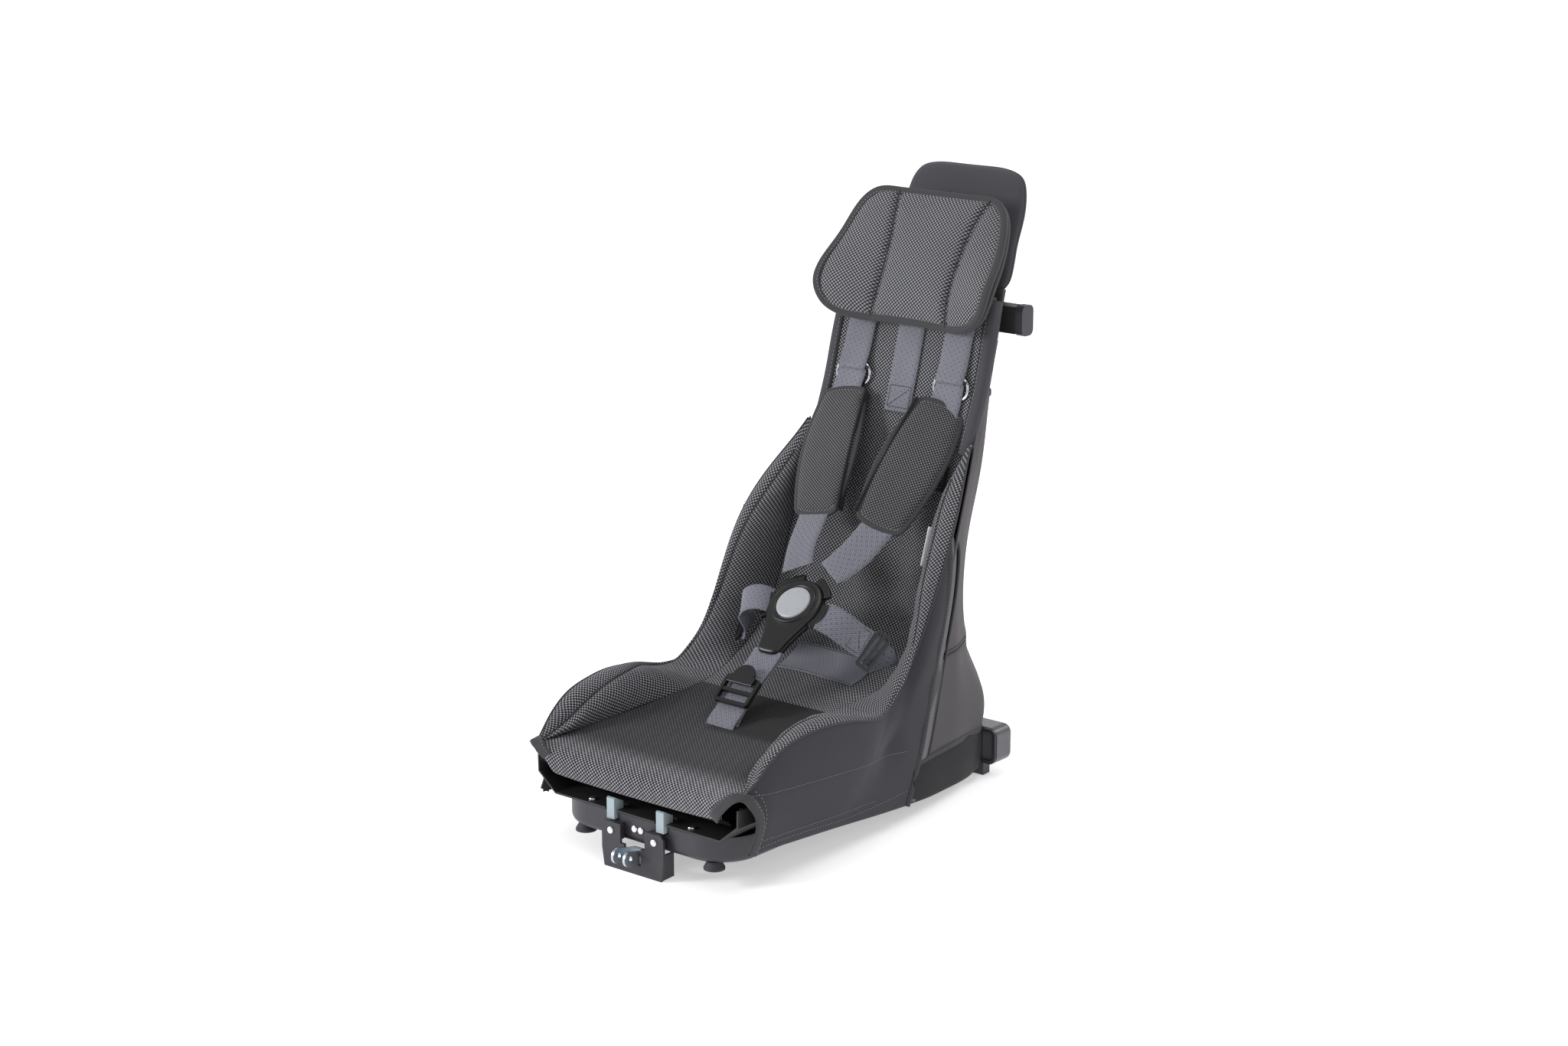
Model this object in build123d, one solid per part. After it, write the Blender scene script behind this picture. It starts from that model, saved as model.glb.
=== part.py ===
from build123d import *
import math
import os

# Docking child seat, built upright in its own seat frame: X across, Y towards the back,
# Z up, with Y = 0 at the front wall of the base and Z = 0 under the front rubber feet.
# At the end every piece is tilted and moved so that the hitch bracket and the rear feet
# stand on Z = 0 and the origin is below the middle of the whole seat.
# All sizes are in millimetres.

# ---- driving dimensions -------------------------------------------------------------
REST_TILT = 2.7              # the seat leans back by this angle when it stands on its hitch
BRACKET_BOTTOM = -20.0       # lowest point of the hitch bracket
STAND_BACK = 286.2           # from the base's front wall to the row origin, after the tilt

BASE_HALF_WIDTH = 122.0
BASE_TOP = 38.0
BASE_BOTTOM = 9.0
BASE_BAR = 27.0
BASE_LENGTH = 424.0
BASE_CORNER = 48.0

REAR_BAR_HALF = 150.0
REAR_BAR_BOTTOM = 16.0
REAR_BAR_TOP = 58.0
REAR_BAR_FRONT = 425.0
REAR_BAR_DEPTH = 30.0

TRAY_HALF_FLAT = 115.0
TRAY_HALF_WIDE = 139.5
TRAY_FLOOR = 40.0
TRAY_SHEET = 2.0

PAN_HALF = 103.0
PANEL_HALF = 103.0
PANEL_THICK = 14.0

BACK_LEAN = 0.285            # how far the back moves rearwards for each mm it rises
BACK_Y = 433.0               # back surface on the centre line at height BACK_Z
BACK_Z = 393.6
BOARD_OFFSET = 54.0          # back board behind the back surface
BOARD_THICK = 9.0
HEADBOARD_TOP = 654.0
HEADBOARD_HALF = 80.0

WEBBING = 38.0
WEBBING_THICK = 1.6

TUBE_R = 7.0
LUG_GAP = 13.0               # clear space between the two hitch lugs
LUG_THICK = 3.0
LUG_HOLE_R = 3.1
LUG_END_R = 8.3
LUG_HOLE_Y = -23.0
LUG_HOLE_Z = 2.0
RUN_CLEARANCE = 0.06
EAR_FACE_Y = -9.0            # front face of the bracket's ears
PIN_Y = 4.0                  # cross pin on which the lugs turn
PIN_Z = -2.0
PIN_R = 3.0
TAB_X = (-34.5, 34.5)        # middles of the two release tabs

BUTTON_R = 20.4
BUCKLE_AT = (0.0, 250.0, 217.0)
BUCKLE_TILT = 40.9           # the buckle's face leans forward of straight up by this angle
THUMB_PIVOT_UP = -113.0      # thumb tab's hinge, along the buckle's face from the button

# the ridge seam of each side bolster: (Y, Z, half width X)
THIGH_RIDGE = [(5, 94, 146), (32, 119, 147), (70, 135, 149.5), (120, 140, 150),
               (165, 135, 150), (205, 125, 149), (226, 128, 147)]
TORSO_RIDGE = [(240, 133, 146), (275, 167, 143), (295, 203, 145), (317, 246, 145),
               (341, 285, 142), (369, 321, 133), (398, 354, 120), (414, 374, 113)]
# the back's surface on the centre line, from the pan seam to the top edge: (Y, Z)
BACK_PROFILE = [(217, 121), (285, 136), (340, 178), (373, 245), (410, 340), (433, 393.6),
                (471.3, 528)]
# the slit between the side skirt and the rear cover: (Y, Z) at its foot and its top
SLIT = [(266, 14), (341, 262)]


def back_y(z):
    """Y of the back surface's flat upper part at height z."""
    return BACK_Y + BACK_LEAN * (z - BACK_Z)


def rest_plane():
    """The floor's plane in the seat frame, through the bracket's lowest edge."""
    tilt = math.radians(REST_TILT)
    return Plane(origin=(0, EAR_FACE_Y, BRACKET_BOTTOM), x_dir=(1, 0, 0),
                 z_dir=(0, -math.sin(tilt), math.cos(tilt)))


def stand(shape):
    """Tilt the seat back onto its hitch bracket and rear feet, and centre it."""
    tilt = math.radians(REST_TILT)
    lift = -BRACKET_BOTTOM * math.cos(tilt) + EAR_FACE_Y * math.sin(tilt)
    return Pos(0, -STAND_BACK, lift) * Rot(-REST_TILT, 0, 0) * shape


nodes = {}


def add(name, *solids):
    """Keep one named piece, or a group of separate equal pieces."""
    parts = []
    for solid in solids:
        parts.extend(solid.solids())
    nodes[name] = parts[0] if len(parts) == 1 else Compound(children=parts)


def mirrored(solid):
    """The left-hand twin of a right-hand piece."""
    return mirror(solid, about=Plane.YZ)


def add_pair(name, right):
    """The right-hand piece (+X) and its mirror image, as two nodes."""
    add(name + "_right", right)
    add(name + "_left", mirrored(right))


def side_prism(outline, x_low, x_high):
    """A straight-sided outline in Y and Z, carried across X."""
    face = Plane.YZ.offset(x_low) * make_face(Polyline(*outline, close=True))
    return extrude(face, amount=x_high - x_low)


def front_prism(outline, y_low, y_high):
    """An outline in X and Z, carried along Y."""
    wire = Polyline(*[(x, y_low, z) for x, z in outline], close=True)
    return extrude(make_face(wire), amount=y_high - y_low, dir=(0, 1, 0))


def plan_prism(outline, z_low, z_high):
    """An outline in X and Y, carried up Z."""
    face = Pos(0, 0, z_low) * make_face(Polyline(*outline, close=True))
    return extrude(face, amount=z_high - z_low, dir=(0, 0, 1))


def offset_line(points, distance):
    """Points moved sideways from a polyline by distance, to the right of its direction."""
    moved = []
    for i, (a, b) in enumerate(points):
        before = points[max(i - 1, 0)]
        after = points[min(i + 1, len(points) - 1)]
        da, db = after[0] - before[0], after[1] - before[1]
        length = math.hypot(da, db)
        moved.append((a + db / length * distance, b - da / length * distance))
    return moved


def wall(points, thickness):
    """Closed outline of a wall of even thickness on the right of a polyline."""
    return list(points) + offset_line(points, thickness)[::-1]


def raised(plane, sketch, height):
    """A flat sketch on a plane, given height along the plane's own normal."""
    return extrude(plane * sketch, amount=height, dir=plane.z_dir)


def rod(start, end, radius):
    """A round bar between two points."""
    axis = Vector(*end) - Vector(*start)
    return extrude(Plane(origin=start, z_dir=axis) * Circle(radius), amount=axis.length)


def tube(points, radius, bend):
    """A round tube along straight runs joined by tangent arcs."""
    path = FilletPolyline(*points, radius=bend)
    profile = Plane(origin=path @ 0, z_dir=path % 0) * Circle(radius)
    return sweep(profile, path=path)


def strap(points, normal, width=WEBBING, thickness=WEBBING_THICK):
    """Flat webbing in straight runs; normal is the way its face looks."""
    pieces = []
    for start, end in zip(points[:-1], points[1:]):
        run = Vector(*end) - Vector(*start)
        face = Vector(*normal)
        face = face - run * (face.dot(run) / run.dot(run))
        middle = (Vector(*start) + Vector(*end)) * 0.5
        place = Plane(origin=middle, x_dir=run, z_dir=face)
        pieces.append(place * Box(run.length + thickness * 0.5, width, thickness))
    whole = pieces[0]
    for piece in pieces[1:]:
        whole += piece
    return whole


def lying(origin, along, normal):
    """Place flat on a strap: local Y runs along it and local Z is the way its face looks."""
    run = along.normalized()
    face = Vector(*normal)
    face = face - run * face.dot(run)
    return Location(Plane(origin=origin, x_dir=run.cross(face), z_dir=face))


def frame_plate(plane, width, length, thickness, rim, bars=()):
    """A rounded rectangular frame with cross bars, as on a webbing slide."""
    outer = RectangleRounded(width, length, rim * 0.9)
    window = Rectangle(width - 2 * rim, length - 2 * rim)
    plate = raised(plane, outer - window, thickness)
    for place in bars:
        bar = Pos(0, place, thickness / 2) * Box(width - rim, rim, thickness * 0.8)
        plate += plane * bar
    return plate


# ---- base ---------------------------------------------------------------------------
def base_ring():
    """Moulded ring that carries the seat: rounded front corners, open middle."""
    middle = BASE_LENGTH / 2
    height = BASE_TOP - BASE_BOTTOM
    outer = RectangleRounded(2 * BASE_HALF_WIDTH, BASE_LENGTH, BASE_CORNER)
    inner = RectangleRounded(2 * (BASE_HALF_WIDTH - BASE_BAR), BASE_LENGTH - 2 * BASE_BAR,
                             BASE_CORNER - BASE_BAR)
    ring = extrude(Pos(0, middle, BASE_BOTTOM) * (outer - inner), amount=height)
    low_edges = ring.faces().sort_by(Axis.Z)[0].outer_wire().edges()
    ring = fillet(low_edges, 9.0)
    for x in TAB_X:
        ring -= Pos(x, 8.2, BASE_TOP - 3.5) * Box(15.0, 26.0, 8.0)
    return ring


def release_tab(x):
    """Grey push tab with a flat front and a top that slopes to the rear."""
    outline = [(-4.4, 31.2), (-4.4, 53.6), (-2.4, 54.6), (10.0, 48.0), (10.0, 31.2)]
    return side_prism(outline, x - 5.2, x + 5.2)


def rear_crossbar():
    """Rear bar of the base, rounded at its ends, with a foot's seat under each end."""
    size = Box(2 * REAR_BAR_HALF, REAR_BAR_DEPTH, REAR_BAR_TOP - REAR_BAR_BOTTOM)
    bar = Pos(0, REAR_BAR_FRONT + REAR_BAR_DEPTH / 2, (REAR_BAR_TOP + REAR_BAR_BOTTOM) / 2) * size
    bar = fillet(bar.edges().filter_by(Axis.Y), 10.0)
    rear_edges = bar.faces().sort_by(Axis.Y)[-1].outer_wire().edges()
    return fillet(rear_edges, 6.0)


def rear_bar_rim():
    """Black lip round the front of the rear bar's end."""
    height = REAR_BAR_TOP - REAR_BAR_BOTTOM
    at = Plane.XZ.offset(-(REAR_BAR_FRONT - 0.3))
    outline = Pos(REAR_BAR_HALF - 12.0, (REAR_BAR_TOP + REAR_BAR_BOTTOM) / 2)
    lip = outline * (RectangleRounded(22.6, height - 1.0, 8.0) - RectangleRounded(15.0, height - 9.0, 4.5))
    return extrude(at * lip, amount=3.0)


def rear_foot():
    """Short angled foot under the rear bar's end."""
    outline = [(426.0, 15.6), (426.0, -2.0), (438.0, -2.0), (438.0, 15.6)]
    block = side_prism(outline, 115.0, 131.0)
    hollow = Pos(121.0, 434.0, 8.0) * Box(14.0, 10.0, 8.0)
    return split(block - hollow, bisect_by=rest_plane(), keep=Keep.TOP)


def front_foot(x):
    """Rubber foot with a domed collar."""
    collar = Cone(11.3, 7.5, 6.5, align=(Align.CENTER, Align.CENTER, Align.MIN))
    pad = Cylinder(11.3, 2.1, align=(Align.CENTER, Align.CENTER, Align.MIN))
    return Pos(x, 17.0, 0.0) * (pad + Pos(0, 0, 2.1) * collar)


def tray():
    """Folded sheet-metal tray under the seat cushion, with its side walls up."""
    right = [(TRAY_HALF_FLAT, TRAY_FLOOR), (TRAY_HALF_WIDE, 60.0), (TRAY_HALF_WIDE + 0.5, 79.0)]
    left = [(-x, z) for x, z in right]
    path = left[::-1] + right
    sheet = front_prism(wall(path, -TRAY_SHEET), -3.5, 288.0)
    for x in TAB_X:
        sheet -= Pos(x, 3.0, TRAY_FLOOR) * Box(16.0, 30.0, 8.0)
    return sheet


def tray_screw(x):
    """Button-head screw through the tray floor."""
    head = Cylinder(4.6, 2.4, align=(Align.CENTER, Align.CENTER, Align.MIN))
    head = fillet(head.edges().sort_by(Axis.Z)[-1], 1.6)
    return Pos(x, 6.0, TRAY_FLOOR + TRAY_SHEET + 0.05) * head


def hitch_bracket():
    """Bent plate with two ears riveted to the base and a hollow box for the lugs below."""
    low = BRACKET_BOTTOM - 2.0
    back = EAR_FACE_Y + 3.0
    front = [(-39, 30), (-17, 30), (-17, 9.5), (17, 9.5), (17, 30), (39, 30), (43, 26),
             (43, 0.5), (39.5, low), (-39.5, low), (-43, 0.5), (-43, 26)]
    plate = front_prism(front, EAR_FACE_Y, back)
    side = [(back, 7.0), (12.0, 7.0), (12.0, low), (back, low)]
    for x in (-39.0, 36.0):
        plate += side_prism(side, x, x + 3.0)
    plate += Pos(0, 3.0, BRACKET_BOTTOM + 1.0) * Box(78.0, 18.0, 6.0)
    plate = split(plate, bisect_by=rest_plane(), keep=Keep.TOP)
    slot = Pos(0, EAR_FACE_Y + 1.0, 2.5) * Box(LUG_GAP + 2 * LUG_THICK + 4.0, 12.0, 24.0)
    ears_behind = [(-35, 12), (-19, 12), (-19, 30), (-35, 30)]
    for sign in (1, -1):
        pad = [(sign * x, z) for x, z in ears_behind]
        plate += front_prism(pad, back, -0.3)
    return plate - slot


def rivet(x, z, y_face):
    """Domed rivet head standing on a plate's face."""
    head = Cylinder(4.0, 1.9)
    head = fillet(head.edges().sort_by(Axis.Z)[-1], 1.4)
    return Plane(origin=(x, y_face - 1.05, z), x_dir=(1, 0, 0), z_dir=(0, -1, 0)) * head


def hitch_lugs():
    """Two zinc lugs joined by a sleeve that turns on the hitch pin."""
    outer = LUG_GAP / 2 + LUG_THICK
    arm = rod((-outer, LUG_HOLE_Y, LUG_HOLE_Z), (outer, LUG_HOLE_Y, LUG_HOLE_Z), LUG_END_R)
    root = rod((-outer, PIN_Y, PIN_Z), (outer, PIN_Y, PIN_Z), 6.4)
    top_line = [(LUG_HOLE_Y, LUG_HOLE_Z + LUG_END_R), (PIN_Y, PIN_Z + 6.4),
                (PIN_Y, PIN_Z - 6.4), (LUG_HOLE_Y, LUG_HOLE_Z - LUG_END_R)]
    lugs = arm + root + side_prism(top_line, -outer, outer)
    lugs -= Pos(0, LUG_HOLE_Y - 2.0, 0) * Box(LUG_GAP, 42.0, 40.0)
    lugs -= rod((-30, LUG_HOLE_Y, LUG_HOLE_Z), (30, LUG_HOLE_Y, LUG_HOLE_Z), LUG_HOLE_R)
    lugs -= rod((-30, PIN_Y, PIN_Z), (30, PIN_Y, PIN_Z), PIN_R + RUN_CLEARANCE)
    return lugs


# ---- frame --------------------------------------------------------------------------
def side_tube():
    """Bent side tube: along the tray, up behind the bolster, in to the upper bar."""
    points = [(118, 26, 57.5), (118, 215, 60), (120, 318, 84), (113, 388, 232),
              (91, 449, 362), (88, 488, 480)]
    return tube(points, TUBE_R, 34.0)


def rear_strut():
    """Strut from the rear bar up to the side tube."""
    return rod((100, 438, 60.0), (102, 404, 243), 6.0)


def back_board():
    """Board behind the back; its rounded top is the headboard."""
    rise = math.atan(BACK_LEAN)
    middle = (HEADBOARD_TOP + 150) / 2
    length = (HEADBOARD_TOP - 150) / math.cos(rise)
    plane = Plane(origin=(0, back_y(middle) + BOARD_OFFSET, middle), x_dir=(1, 0, 0),
                  z_dir=(0, math.cos(rise), -math.sin(rise)))
    outline = Rectangle(2 * HEADBOARD_HALF - 6.0, length)
    outline = fillet(outline.vertices().sort_by(Axis.Y)[:2], 24.0)
    return extrude(plane * outline, amount=BOARD_THICK)


# ---- soft parts ---------------------------------------------------------------------
def pan_cover():
    """Seat pan cushion with a rolled front edge and a slot for the crotch strap."""
    outline = [(-4, 62), (-8, 72), (-4, 84), (6, 90), (40, 95.5), (126, 108.5), (214, 120.5),
               (216, 109), (126, 96), (16, 76), (10, 63)]
    slot = Pos(0, 128, 104) * Box(WEBBING + 4.0, 7.0, 40.0)
    return side_prism(outline, -PAN_HALF, PAN_HALF) - slot


def pan_board():
    """Stiff board under the pan cushion."""
    outline = [(17, 70), (126, 92), (215, 105.5), (215, 101.5), (126, 88), (17, 66)]
    slot = Pos(0, 128, 90) * Box(WEBBING + 4.0, 7.0, 40.0)
    return side_prism(outline, -PAN_HALF, PAN_HALF) - slot


def back_panel():
    """Mesh back panel from the pan seam up to its top edge."""
    front = Spline(*BACK_PROFILE)
    rear = Spline(*offset_line(BACK_PROFILE, PANEL_THICK))
    outline = [front, Line(front @ 1, rear @ 1), rear, Line(rear @ 0, front @ 0)]
    face = make_face(outline)
    return extrude(Plane.YZ.offset(-PANEL_HALF) * face, amount=2 * PANEL_HALF)


def thigh_bolster():
    """Side bolster over the thigh, from the front corner to the hip."""
    sections = []
    for y, z, x in THIGH_RIDGE:
        pan_z = 90.0 + (y - 6.0) * 0.147
        corners = [(x, y, z), (PAN_HALF + 1.0, y, pan_z + 2.0),
                   (PAN_HALF + 1.0, y, pan_z - 7.0), (x - 1.0, y, min(z - 10.0, pan_z - 5.0))]
        sections.append(make_face(Polyline(*corners, close=True)))
    return loft(sections, ruled=True)


def torso_bolster():
    """Side bolster beside the body, from the hip up to its point on the back."""
    inner = [(296, 133), (330, 167), (352, 203), (368, 246), (384, 285), (399, 321),
             (413, 354), (420, 374)]
    sections = []
    for (y, z, x), (y_in, z_in) in zip(TORSO_RIDGE, inner):
        x_in = PANEL_HALF + 1.0
        deep = 6.0 + 0.16 * (y_in - y)
        corners = [(x, y, z), (x_in, y_in, z), (x_in, y_in + 6.0, z), (x - 1.0, y + deep, z)]
        sections.append(make_face(Polyline(*corners, close=True)))
    return loft(sections, ruled=True)


def side_skirt():
    """Plain outer side panel, from the ridge seam down to its hem."""
    top = [(3, 92), (32, 118), (70, 134), (120, 139), (165, 134), (205, 125), (240, 133),
           (275, 167), (295, 203), (317, 246), (327, 262)]
    slit = [(y - 1.0, z) for y, z in SLIT[::-1]]
    front_edge = [(150, 23), (0, 33), (8, 48), (12, 64), (6, 80)]
    return side_prism(top + slit + front_edge, 151.0, 153.5)


# outer shape of the rear cover at each height: Z, then (X, Y) of its front edge, its side,
# its corner and its flat back, whose half width is the last X
REAR_SECTIONS = [
    (59.5, (150, 285), (147, 350), (128, 424), (112, 460)),
    (100, (150, 297), (146, 360), (127, 429), (98, 458)),
    (150, (149.5, 310.5), (145, 352), (127, 402), (90, 462)),
    (200, (149, 325), (143, 354), (127, 392), (88, 468)),
    (262, (146, 343), (138, 361), (126, 385), (88, 476)),
    (321, (133, 384), (128, 397), (120, 414), (88, 487)),
    (378, (114.5, 430), (113.5, 437), (110, 447), (88, 501)),
    (455, (111, 451), (110.5, 458), (107, 472), (88, 521)),
]
COVER_THICK = 2.5
COVER_SEAM_X = 86.0          # seams between the cover's flat rear and its two sides


def rear_loft(inset):
    """The rear cover's outer solid, moved in by inset all round."""
    sections = []
    for z, front, side, corner, back in REAR_SECTIONS:
        half = [(front[0] - inset, front[1]), (side[0] - inset, side[1]),
                (corner[0] - inset, corner[1] - 0.4 * inset), (back[0] - 0.4 * inset, back[1] - inset)]
        ring = half + [(-x, y) for x, y in half[::-1]]
        sections.append(Pos(0, 0, z) * make_face(Polyline(*ring, close=True)))
    return loft(sections, ruled=True)


def rear_covers():
    """Softshell cover round the back, open in front, above and below: right side, left side, rear."""
    shell = rear_loft(0.0) - rear_loft(COVER_THICK)
    right = split(shell, bisect_by=Plane.YZ.offset(COVER_SEAM_X), keep=Keep.TOP)
    rest = split(shell, bisect_by=Plane.YZ.offset(COVER_SEAM_X), keep=Keep.BOTTOM)
    rear = split(rest, bisect_by=Plane.YZ.offset(-COVER_SEAM_X), keep=Keep.TOP)
    return right, mirrored(right), rear


def rail_cover():
    """Dark lower cover over the side rail of the base, behind the skirt."""
    line = [(150.4, 277), (147, 345), (129.4, 421.2)]
    return plan_prism(wall(line, -2.5), 11.0, 56.0)


def headboard_cover():
    """Fabric slipped over the headboard, front and back, with a closed top."""
    rise = math.atan(BACK_LEAN)
    low, high = 534.0, HEADBOARD_TOP + 3.0
    middle = (low + high) / 2
    length = (high - low) / math.cos(rise)
    plane = Plane(origin=(0, back_y(middle) + BOARD_OFFSET - 3.0, middle), x_dir=(1, 0, 0),
                  z_dir=(0, math.cos(rise), -math.sin(rise)))
    outline = Rectangle(2 * HEADBOARD_HALF, length)
    outline = fillet(outline.vertices().sort_by(Axis.Y)[:2], 26.0)
    cover = extrude(plane * outline, amount=BOARD_THICK + 6.0)
    pocket = Pos(0, -1.6, -1.6) * nodes["back_board"]
    return cover - nodes["back_board"] - pocket - Pos(0, 1.4, -4.0) * nodes["back_board"]


CUSHION_AT = (0.0, 478.0, 562.0)
CUSHION_LEAN = 25.0


def cushion_plane(offset):
    """Face plane of the head cushion, offset forwards; local Y runs up the cushion."""
    lean = math.radians(CUSHION_LEAN)
    forward = Vector(0, -math.cos(lean), math.sin(lean))
    return Plane(origin=Vector(*CUSHION_AT) + forward * offset, x_dir=(1, 0, 0), z_dir=forward)


def head_cushion():
    """Head cushion: a middle pad with two wings that come forward."""
    middle = Polygon((-66, 74), (66, 74), (52, -73), (-52, -73), align=None)
    centre = raised(cushion_plane(0.0), middle, 19.0)
    for sign in (1, -1):
        wing = [(56 * sign, 72), (86 * sign, 66), (106 * sign, 20), (112 * sign, -30), (98 * sign, -58),
                (50 * sign, -71)]
        face = make_face(Polyline(*wing, close=True))
        lower = cushion_plane(1.0) * face
        upper = cushion_plane(25.0) * (Pos(7 * sign, 0) * face)
        centre += loft([lower, upper], ruled=True)
    return centre


def head_cushion_back():
    """Second layer behind the head cushion, which slides on the headboard."""
    outline = [(-80, 66), (80, 66), (92, -20), (70, -58), (-70, -58), (-92, -20)]
    return raised(cushion_plane(-5.5), Polygon(*outline, align=None), 5.0)


# ---- harness ------------------------------------------------------------------------
# each shoulder strap: its top, its slide, the end of the pad's straight run, and its tongue
STRAP_RUNS = {
    "left": [(-67, 463.5, 506), (-68, 442.5, 438), (-68, 432, 418), (-19, 285, 245)],
    "right": [(67, 463.5, 506), (68, 442.5, 438), (68, 432, 418), (25, 285, 245)],
}
STRAP_FACE = (0, -0.86, 0.5)
PAD_SIZE = (158.0, 60.0, 15.0)


def pad_body(run):
    """Padded sleeve round a shoulder strap, with a channel for the strap."""
    start, end = Vector(*run[2]), Vector(*run[3])
    along = (end - start).normalized()
    face = Vector(*STRAP_FACE)
    face = face - along * face.dot(along)
    length, width, thickness = PAD_SIZE
    plane = Plane(origin=start + along * (3.0 + length / 2), x_dir=along, z_dir=face)
    block = fillet(Box(length, width, thickness).edges().filter_by(Axis.Z), 12.0)
    channel = Box(length + 40.0, WEBBING + 2.0, WEBBING_THICK + 1.6)
    return plane * (block - channel)


def slide_plate(run):
    """Chrome three-bar slide lying on the shoulder strap."""
    plane = Plane(origin=Vector(*run[1]) + Vector(0, -3.4, 1.0), x_dir=(1, 0, 0), z_dir=(0, -0.96, 0.27))
    return frame_plate(plane, 50.0, 24.0, 2.2, 3.5, bars=(0.0,))


def buckle_plane(depth):
    """Plane of the buckle's face at a depth below the button's top."""
    tilt = math.radians(BUCKLE_TILT)
    out = Vector(0, -math.sin(tilt), math.cos(tilt))
    return Plane(origin=Vector(*BUCKLE_AT) - out * depth, x_dir=(1, 0, 0), z_dir=out)


def buckle_point(x, up, depth):
    """A point given across, up and below the buckle's face."""
    plane = buckle_plane(depth)
    point = plane.from_local_coords(Vector(x, up, 0))
    return (point.X, point.Y, point.Z)


def teardrop(depth, grow, height):
    """Round puck with a tail towards the crotch strap, from depth up by height."""
    plane = buckle_plane(depth)
    tail = Polygon((-28 - grow, -12), (28 + grow, -12), (18.5 + grow, -63 - grow),
                   (-18.5 - grow, -63 - grow), align=None)
    return raised(plane, Circle(31.5 + grow), height) + raised(plane, tail, height)


def buckle_back():
    """Lower half of the buckle."""
    return teardrop(16.0, 0.0, 5.0)


def buckle_housing():
    """Upper half of the buckle, open round the button, with its raised rim."""
    rim = raised(buckle_plane(4.0), Circle(26.5), 2.4)
    well = raised(buckle_plane(10.9), Circle(BUTTON_R + 0.35), 12.0)
    return teardrop(10.9, 1.5, 6.9) + rim - well


def buckle_button():
    """Round release button with a shallow dome."""
    body = Cylinder(BUTTON_R, 6.4, align=(Align.CENTER, Align.CENTER, Align.MIN))
    body = fillet(body.edges().sort_by(Axis.Z)[-1], 1.6)
    return buckle_plane(6.6) * body


def tongue(angle):
    """Tongue that plugs into the buckle's edge, with a bar for its webbing."""
    blade = Pos(36.9, 0, 0) * Box(7.0, 25.0, 2.4) - Pos(37.6, 0, 0) * Box(2.6, 20.0, 3.0)
    return buckle_plane(10.0) * (Rot(0, 0, angle) * blade)


def ladder_lock():
    """Webbing adjuster on the crotch strap: rounded frame with three bars."""
    plane = Plane(origin=buckle_point(0, -121, 3.2), x_dir=(1, 0, 0), z_dir=buckle_plane(0).z_dir)
    return frame_plate(plane, 47.0, 34.0, 5.0, 4.0, bars=(-1.0,))


def thumb_tab():
    """Thumb tab with a round barrel at its lower edge, where it is hinged on the adjuster."""
    tab = Rectangle(34.0, 9.0) + Pos(0, 4.5) * (Circle(14.0) - Pos(0, -10) * Rectangle(40, 20))
    plane = Plane(origin=buckle_point(0, -108.5, -2.1), x_dir=(1, 0, 0), z_dir=buckle_plane(0).z_dir)
    barrel = rod(buckle_point(-17, THUMB_PIVOT_UP, -3.4), buckle_point(17, THUMB_PIVOT_UP, -3.4), 1.3)
    return raised(plane, tab, 2.6) + barrel


WAIST_RUN = [buckle_point(42.5, -4, 10.0), (95.0, 279.5, 168.0), (98.0, 285.0, 151.0)]
WAIST_FACE = (0.35, -0.75, 0.56)


def hip_adjuster():
    """Black bar adjuster at the end of a waist strap."""
    start, end = Vector(*WAIST_RUN[0]), Vector(*WAIST_RUN[1])
    place = lying(end, end - start, WAIST_FACE) * Pos(0, -6.0, 1.2)
    return frame_plate(Plane(place), 45.0, 18.0, 3.4, 3.2, bars=(0.0,))


# ---- build every node ---------------------------------------------------------------
add("base_ring", base_ring())
add("rear_crossbar", rear_crossbar())
add("rear_bar_rims", rear_bar_rim(), mirrored(rear_bar_rim()))
add("rear_feet", rear_foot(), mirrored(rear_foot()))
add("front_feet", front_foot(-90.0), front_foot(90.0))
add("tray", tray())
add("tray_screws", *[tray_screw(x) for x in (-69.4, 69.4)])
add("hitch_bracket", hitch_bracket())
ear_rivets = [rivet(x, 21.0, EAR_FACE_Y) for x in (-30.2, 30.2)]
add("hitch_rivets", *ear_rivets, *[rivet(x, 25.5, 0.0) for x in (-4.5, 4.5)])
add("hitch_lugs", hitch_lugs())
add("hitch_pin", rod((-35.8, PIN_Y, PIN_Z), (35.8, PIN_Y, PIN_Z), PIN_R))
for side, x in zip(("left", "right"), TAB_X):
    add("release_tab_" + side, release_tab(x))

add("front_cross_tube", rod((-110.5, 26, 55), (110.5, 26, 55), 8.0))
add("frame_bolts", *[rod((s * 133.0, 9, 72), (s * 137.0, 9, 72), 5.5) for s in (1, -1)])
add_pair("side_tube", side_tube())
add_pair("rear_strut", rear_strut())
add("upper_crossbar", Pos(0, 495.5, 505) * Box(240, 19, 30))
upper_cap = Pos(125.4, 495.5, 505) * fillet(Box(9.6, 21, 34).edges().filter_by(Axis.X), 7.0)
add_pair("upper_cap", upper_cap)
add("back_board", back_board())

add("pan_cover", pan_cover())
add("pan_board", pan_board())
add("back_panel", back_panel())
add_pair("thigh_bolster", thigh_bolster())
add_pair("torso_bolster", torso_bolster())
add_pair("side_skirt", side_skirt())
for name, piece in zip(("rear_cover_right", "rear_cover_left", "rear_cover"), rear_covers()):
    add(name, piece)
add_pair("rail_cover", rail_cover())
add("headboard_cover", headboard_cover())
add("head_cushion", head_cushion())
add("head_cushion_back", head_cushion_back())

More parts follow.
